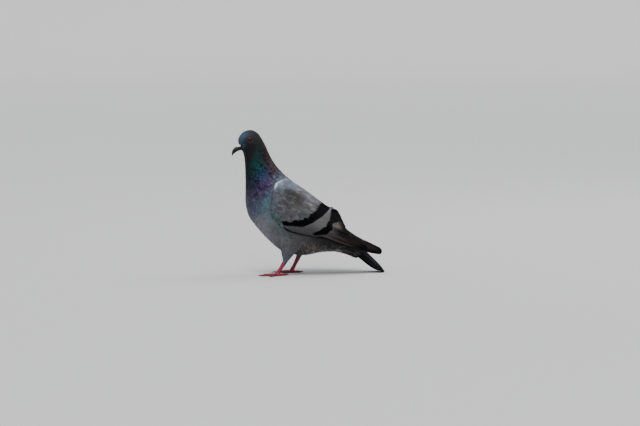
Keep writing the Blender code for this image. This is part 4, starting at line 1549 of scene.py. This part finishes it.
def makeCere():
    low, high = (np.array(corner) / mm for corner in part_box("cere"))
    centre = (low + high) / 2 + (0, bill["back"], 0.3)
    c, s = math.cos(bill["slope"]), math.sin(bill["slope"])
    lobes = []
    for sign in (1, -1):
        lobe = newBall()
        x, y, z = pointsOf(lobe).T
        taper = 0.86 + 0.20 * y - 0.06 * y**2  # plump at the forehead, slim in front
        x, y, z = (pointsOf(lobe) * bill["lobe"]).T
        x = x * taper + sign * (bill["aside"] + 0.12 * y)
        z = z * taper + bill["raised"]
        movePoints(lobe, (np.stack([x, y * c - z * s, y * s + z * c], -1) + centre) * mm)
        lobes.append(lobe)
    only(*lobes)
    bpy.ops.object.join()
    cere = rounded(bpy.context.object, bill["cereVoxel"], bill["cereRounds"])
    points, normals = pointsOf(cere) / mm, normalsOf(cere)
    off = points - centre
    ahead = -off[:, 1] * c - off[:, 2] * s
    rise = -off[:, 1] * s + off[:, 2] * c - bill["raised"]
    slit = bill["slit"]
    inside = ramp(ahead, *slit["starts"]) * ramp(ahead, *slit["ends"])
    groove = np.exp(-(((rise - slit["height"]) / slit["half"]) ** 2)) * inside * (np.abs(points[:, 0]) > 1.2)
    movePoints(cere, (points - normals * (slit["depth"] * groove)[:, None]) * mm)
    cere.data.attributes.new("slit", "FLOAT", "POINT").data.foreach_set("value", groove)
    smoothed(cere, 180)
    named(cere, "nose_cere", chalkFinish(), "cere", "cere")


def makeBill():
    horn = hornFinish("bill horn", tone(5, 5, 6), tone(17, 16, 18), 0.45)
    for name, node, outward in (("upper_bill", "bill_upper", (0, -0.45, 0.9)),
                                ("lower_bill", "bill_lower", (0, 0.45, -0.9))):
        half = softCopy(name, horn, "bill", bill["voxel"], bill["rounds"], bill["swell"], node,
                        fit=bill["fit"])
        points, normals = pointsOf(half) / mm, normalsOf(half)
        fromTip = ramp(points[:, 2], points[:, 2].min(), 7)
        facing = np.clip(normals @ np.array(outward) + 0.6, 0, 1)
        movePoints(half, (points + normals * (bill["stout"] * fromTip * facing)[:, None]) * mm)
    makeCere()


makeBill()
print("bill made")


foot = {
    "toes": ("inner", "middle", "outer", "hind"),
    "voxel": 0.34,
    "rounds": 4,
    "swell": 0.22,
    "flesh": 0.13,  # more of the scaly skin over the bones, once they are rounded
    "shank": 0.25,
    "shankOver": (5, 3),
    "under": (-3.5, 2.5),  # from the hem
    "longer": 5.0,
    "toeTop": 5.2,
    "toeStart": 4.5,
    "shankFrom": 6.5,
    "scutePitch": {"toe": 1.75, "shank": 2.1},
    "scuteDepth": 0.16,
    "claw": (0.18, 3, 0.10),  # voxel, rounds, swell
    "clawIn": 1.1,  # each claw's base is let into its toe
}


def legFinish():
    finish = Finish("leg scales", Roughness=0.5)
    cells = finish.node("TexVoronoi", {"feature": "DISTANCE_TO_EDGE"},
                        {"Vector": finish.place(), "Scale": 900.0}, "Distance")
    seam = cells.fade(0.02, 0.16)
    cloud = finish.noise(240, 3)
    colour = finish.mix(cloud, tone(124, 8, 42), tone(170, 24, 72))
    finish.set(Base_Color=finish.mix(seam, tone(84, 10, 26), colour), Roughness=0.45 + cloud * 0.2)
    finish.bump(seam, 0.35, 0.0003)
    return finish.material


def scutes(place, pitch, facing):  # the raised scales across a toe or down the shank
    wave = np.abs(np.sin(math.pi * place / foot["scutePitch"][pitch])) ** 0.5
    return foot["scuteDepth"] * (wave - 0.75) * np.clip(facing, 0, 1)


def makeFeet():
    legSkin = legFinish()
    claws = hornFinish("claw horn", tone(26, 22, 22), tone(60, 54, 52), 0.42)
    for side, leg in legs.items():
        parts = ["tarsus_" + side] + [f"toe_{side}_{toe}" for toe in foot["toes"]]
        obj = rounded(copyOf(*parts), foot["voxel"], foot["rounds"], foot["swell"])
        points, normals = pointsOf(obj) / mm, normalsOf(obj)
        height = points[:, 2]
        centre = legLine(leg, footHeight)
        slope = np.array([0, math.sin(leg["lean"]), math.cos(leg["lean"])])
        radius = np.hypot(*(points[:, :2] - centre[:2]).T)
        push = foot["flesh"] + foot["shank"] * ramp(height, *foot["shankOver"])
        onToe = (height < foot["toeTop"]) & (radius > foot["toeStart"])
        push += np.where(onToe, scutes(radius, "toe", normals[:, 2]), 0)
        down = scutes((points - centre) @ slope, "shank", -normals[:, 1])
        push += np.where(height > foot["shankFrom"], down, 0)
        points = points + normals * push[:, None]
        # the leg runs on up under the feathers
        high = ramp(points[:, 2] - leg["hem"], *foot["under"])
        points = points + high[:, None] * foot["longer"] * slope
        points[:, 2] = np.maximum(points[:, 2], 0.0)
        movePoints(obj, points * mm)
        smoothed(obj, 180)
        named(obj, "foot_" + side, legSkin, "leg_skin", *parts)
        names = [f"claw_{side}_{toe}" for toe in foot["toes"]]
        obj = softCopy("claws_" + side, claws, "claw", *foot["claw"], *names)
        points = pointsOf(obj) / mm
        for name in names:
            low, high = (np.array(corner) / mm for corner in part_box(name))
            away = unit(((low + high) / 2 - centre) * (1, 1, 0))
            mine = np.all((points > low - 0.6) & (points < high + 0.6), axis=1)
            reach = (points - centre) @ away
            let = ramp(reach, reach[mine].min() + 0.9, -0.9) * foot["clawIn"]
            points -= (mine * let)[:, None] * away
        movePoints(obj, points * mm)


makeFeet()
print("feet made")
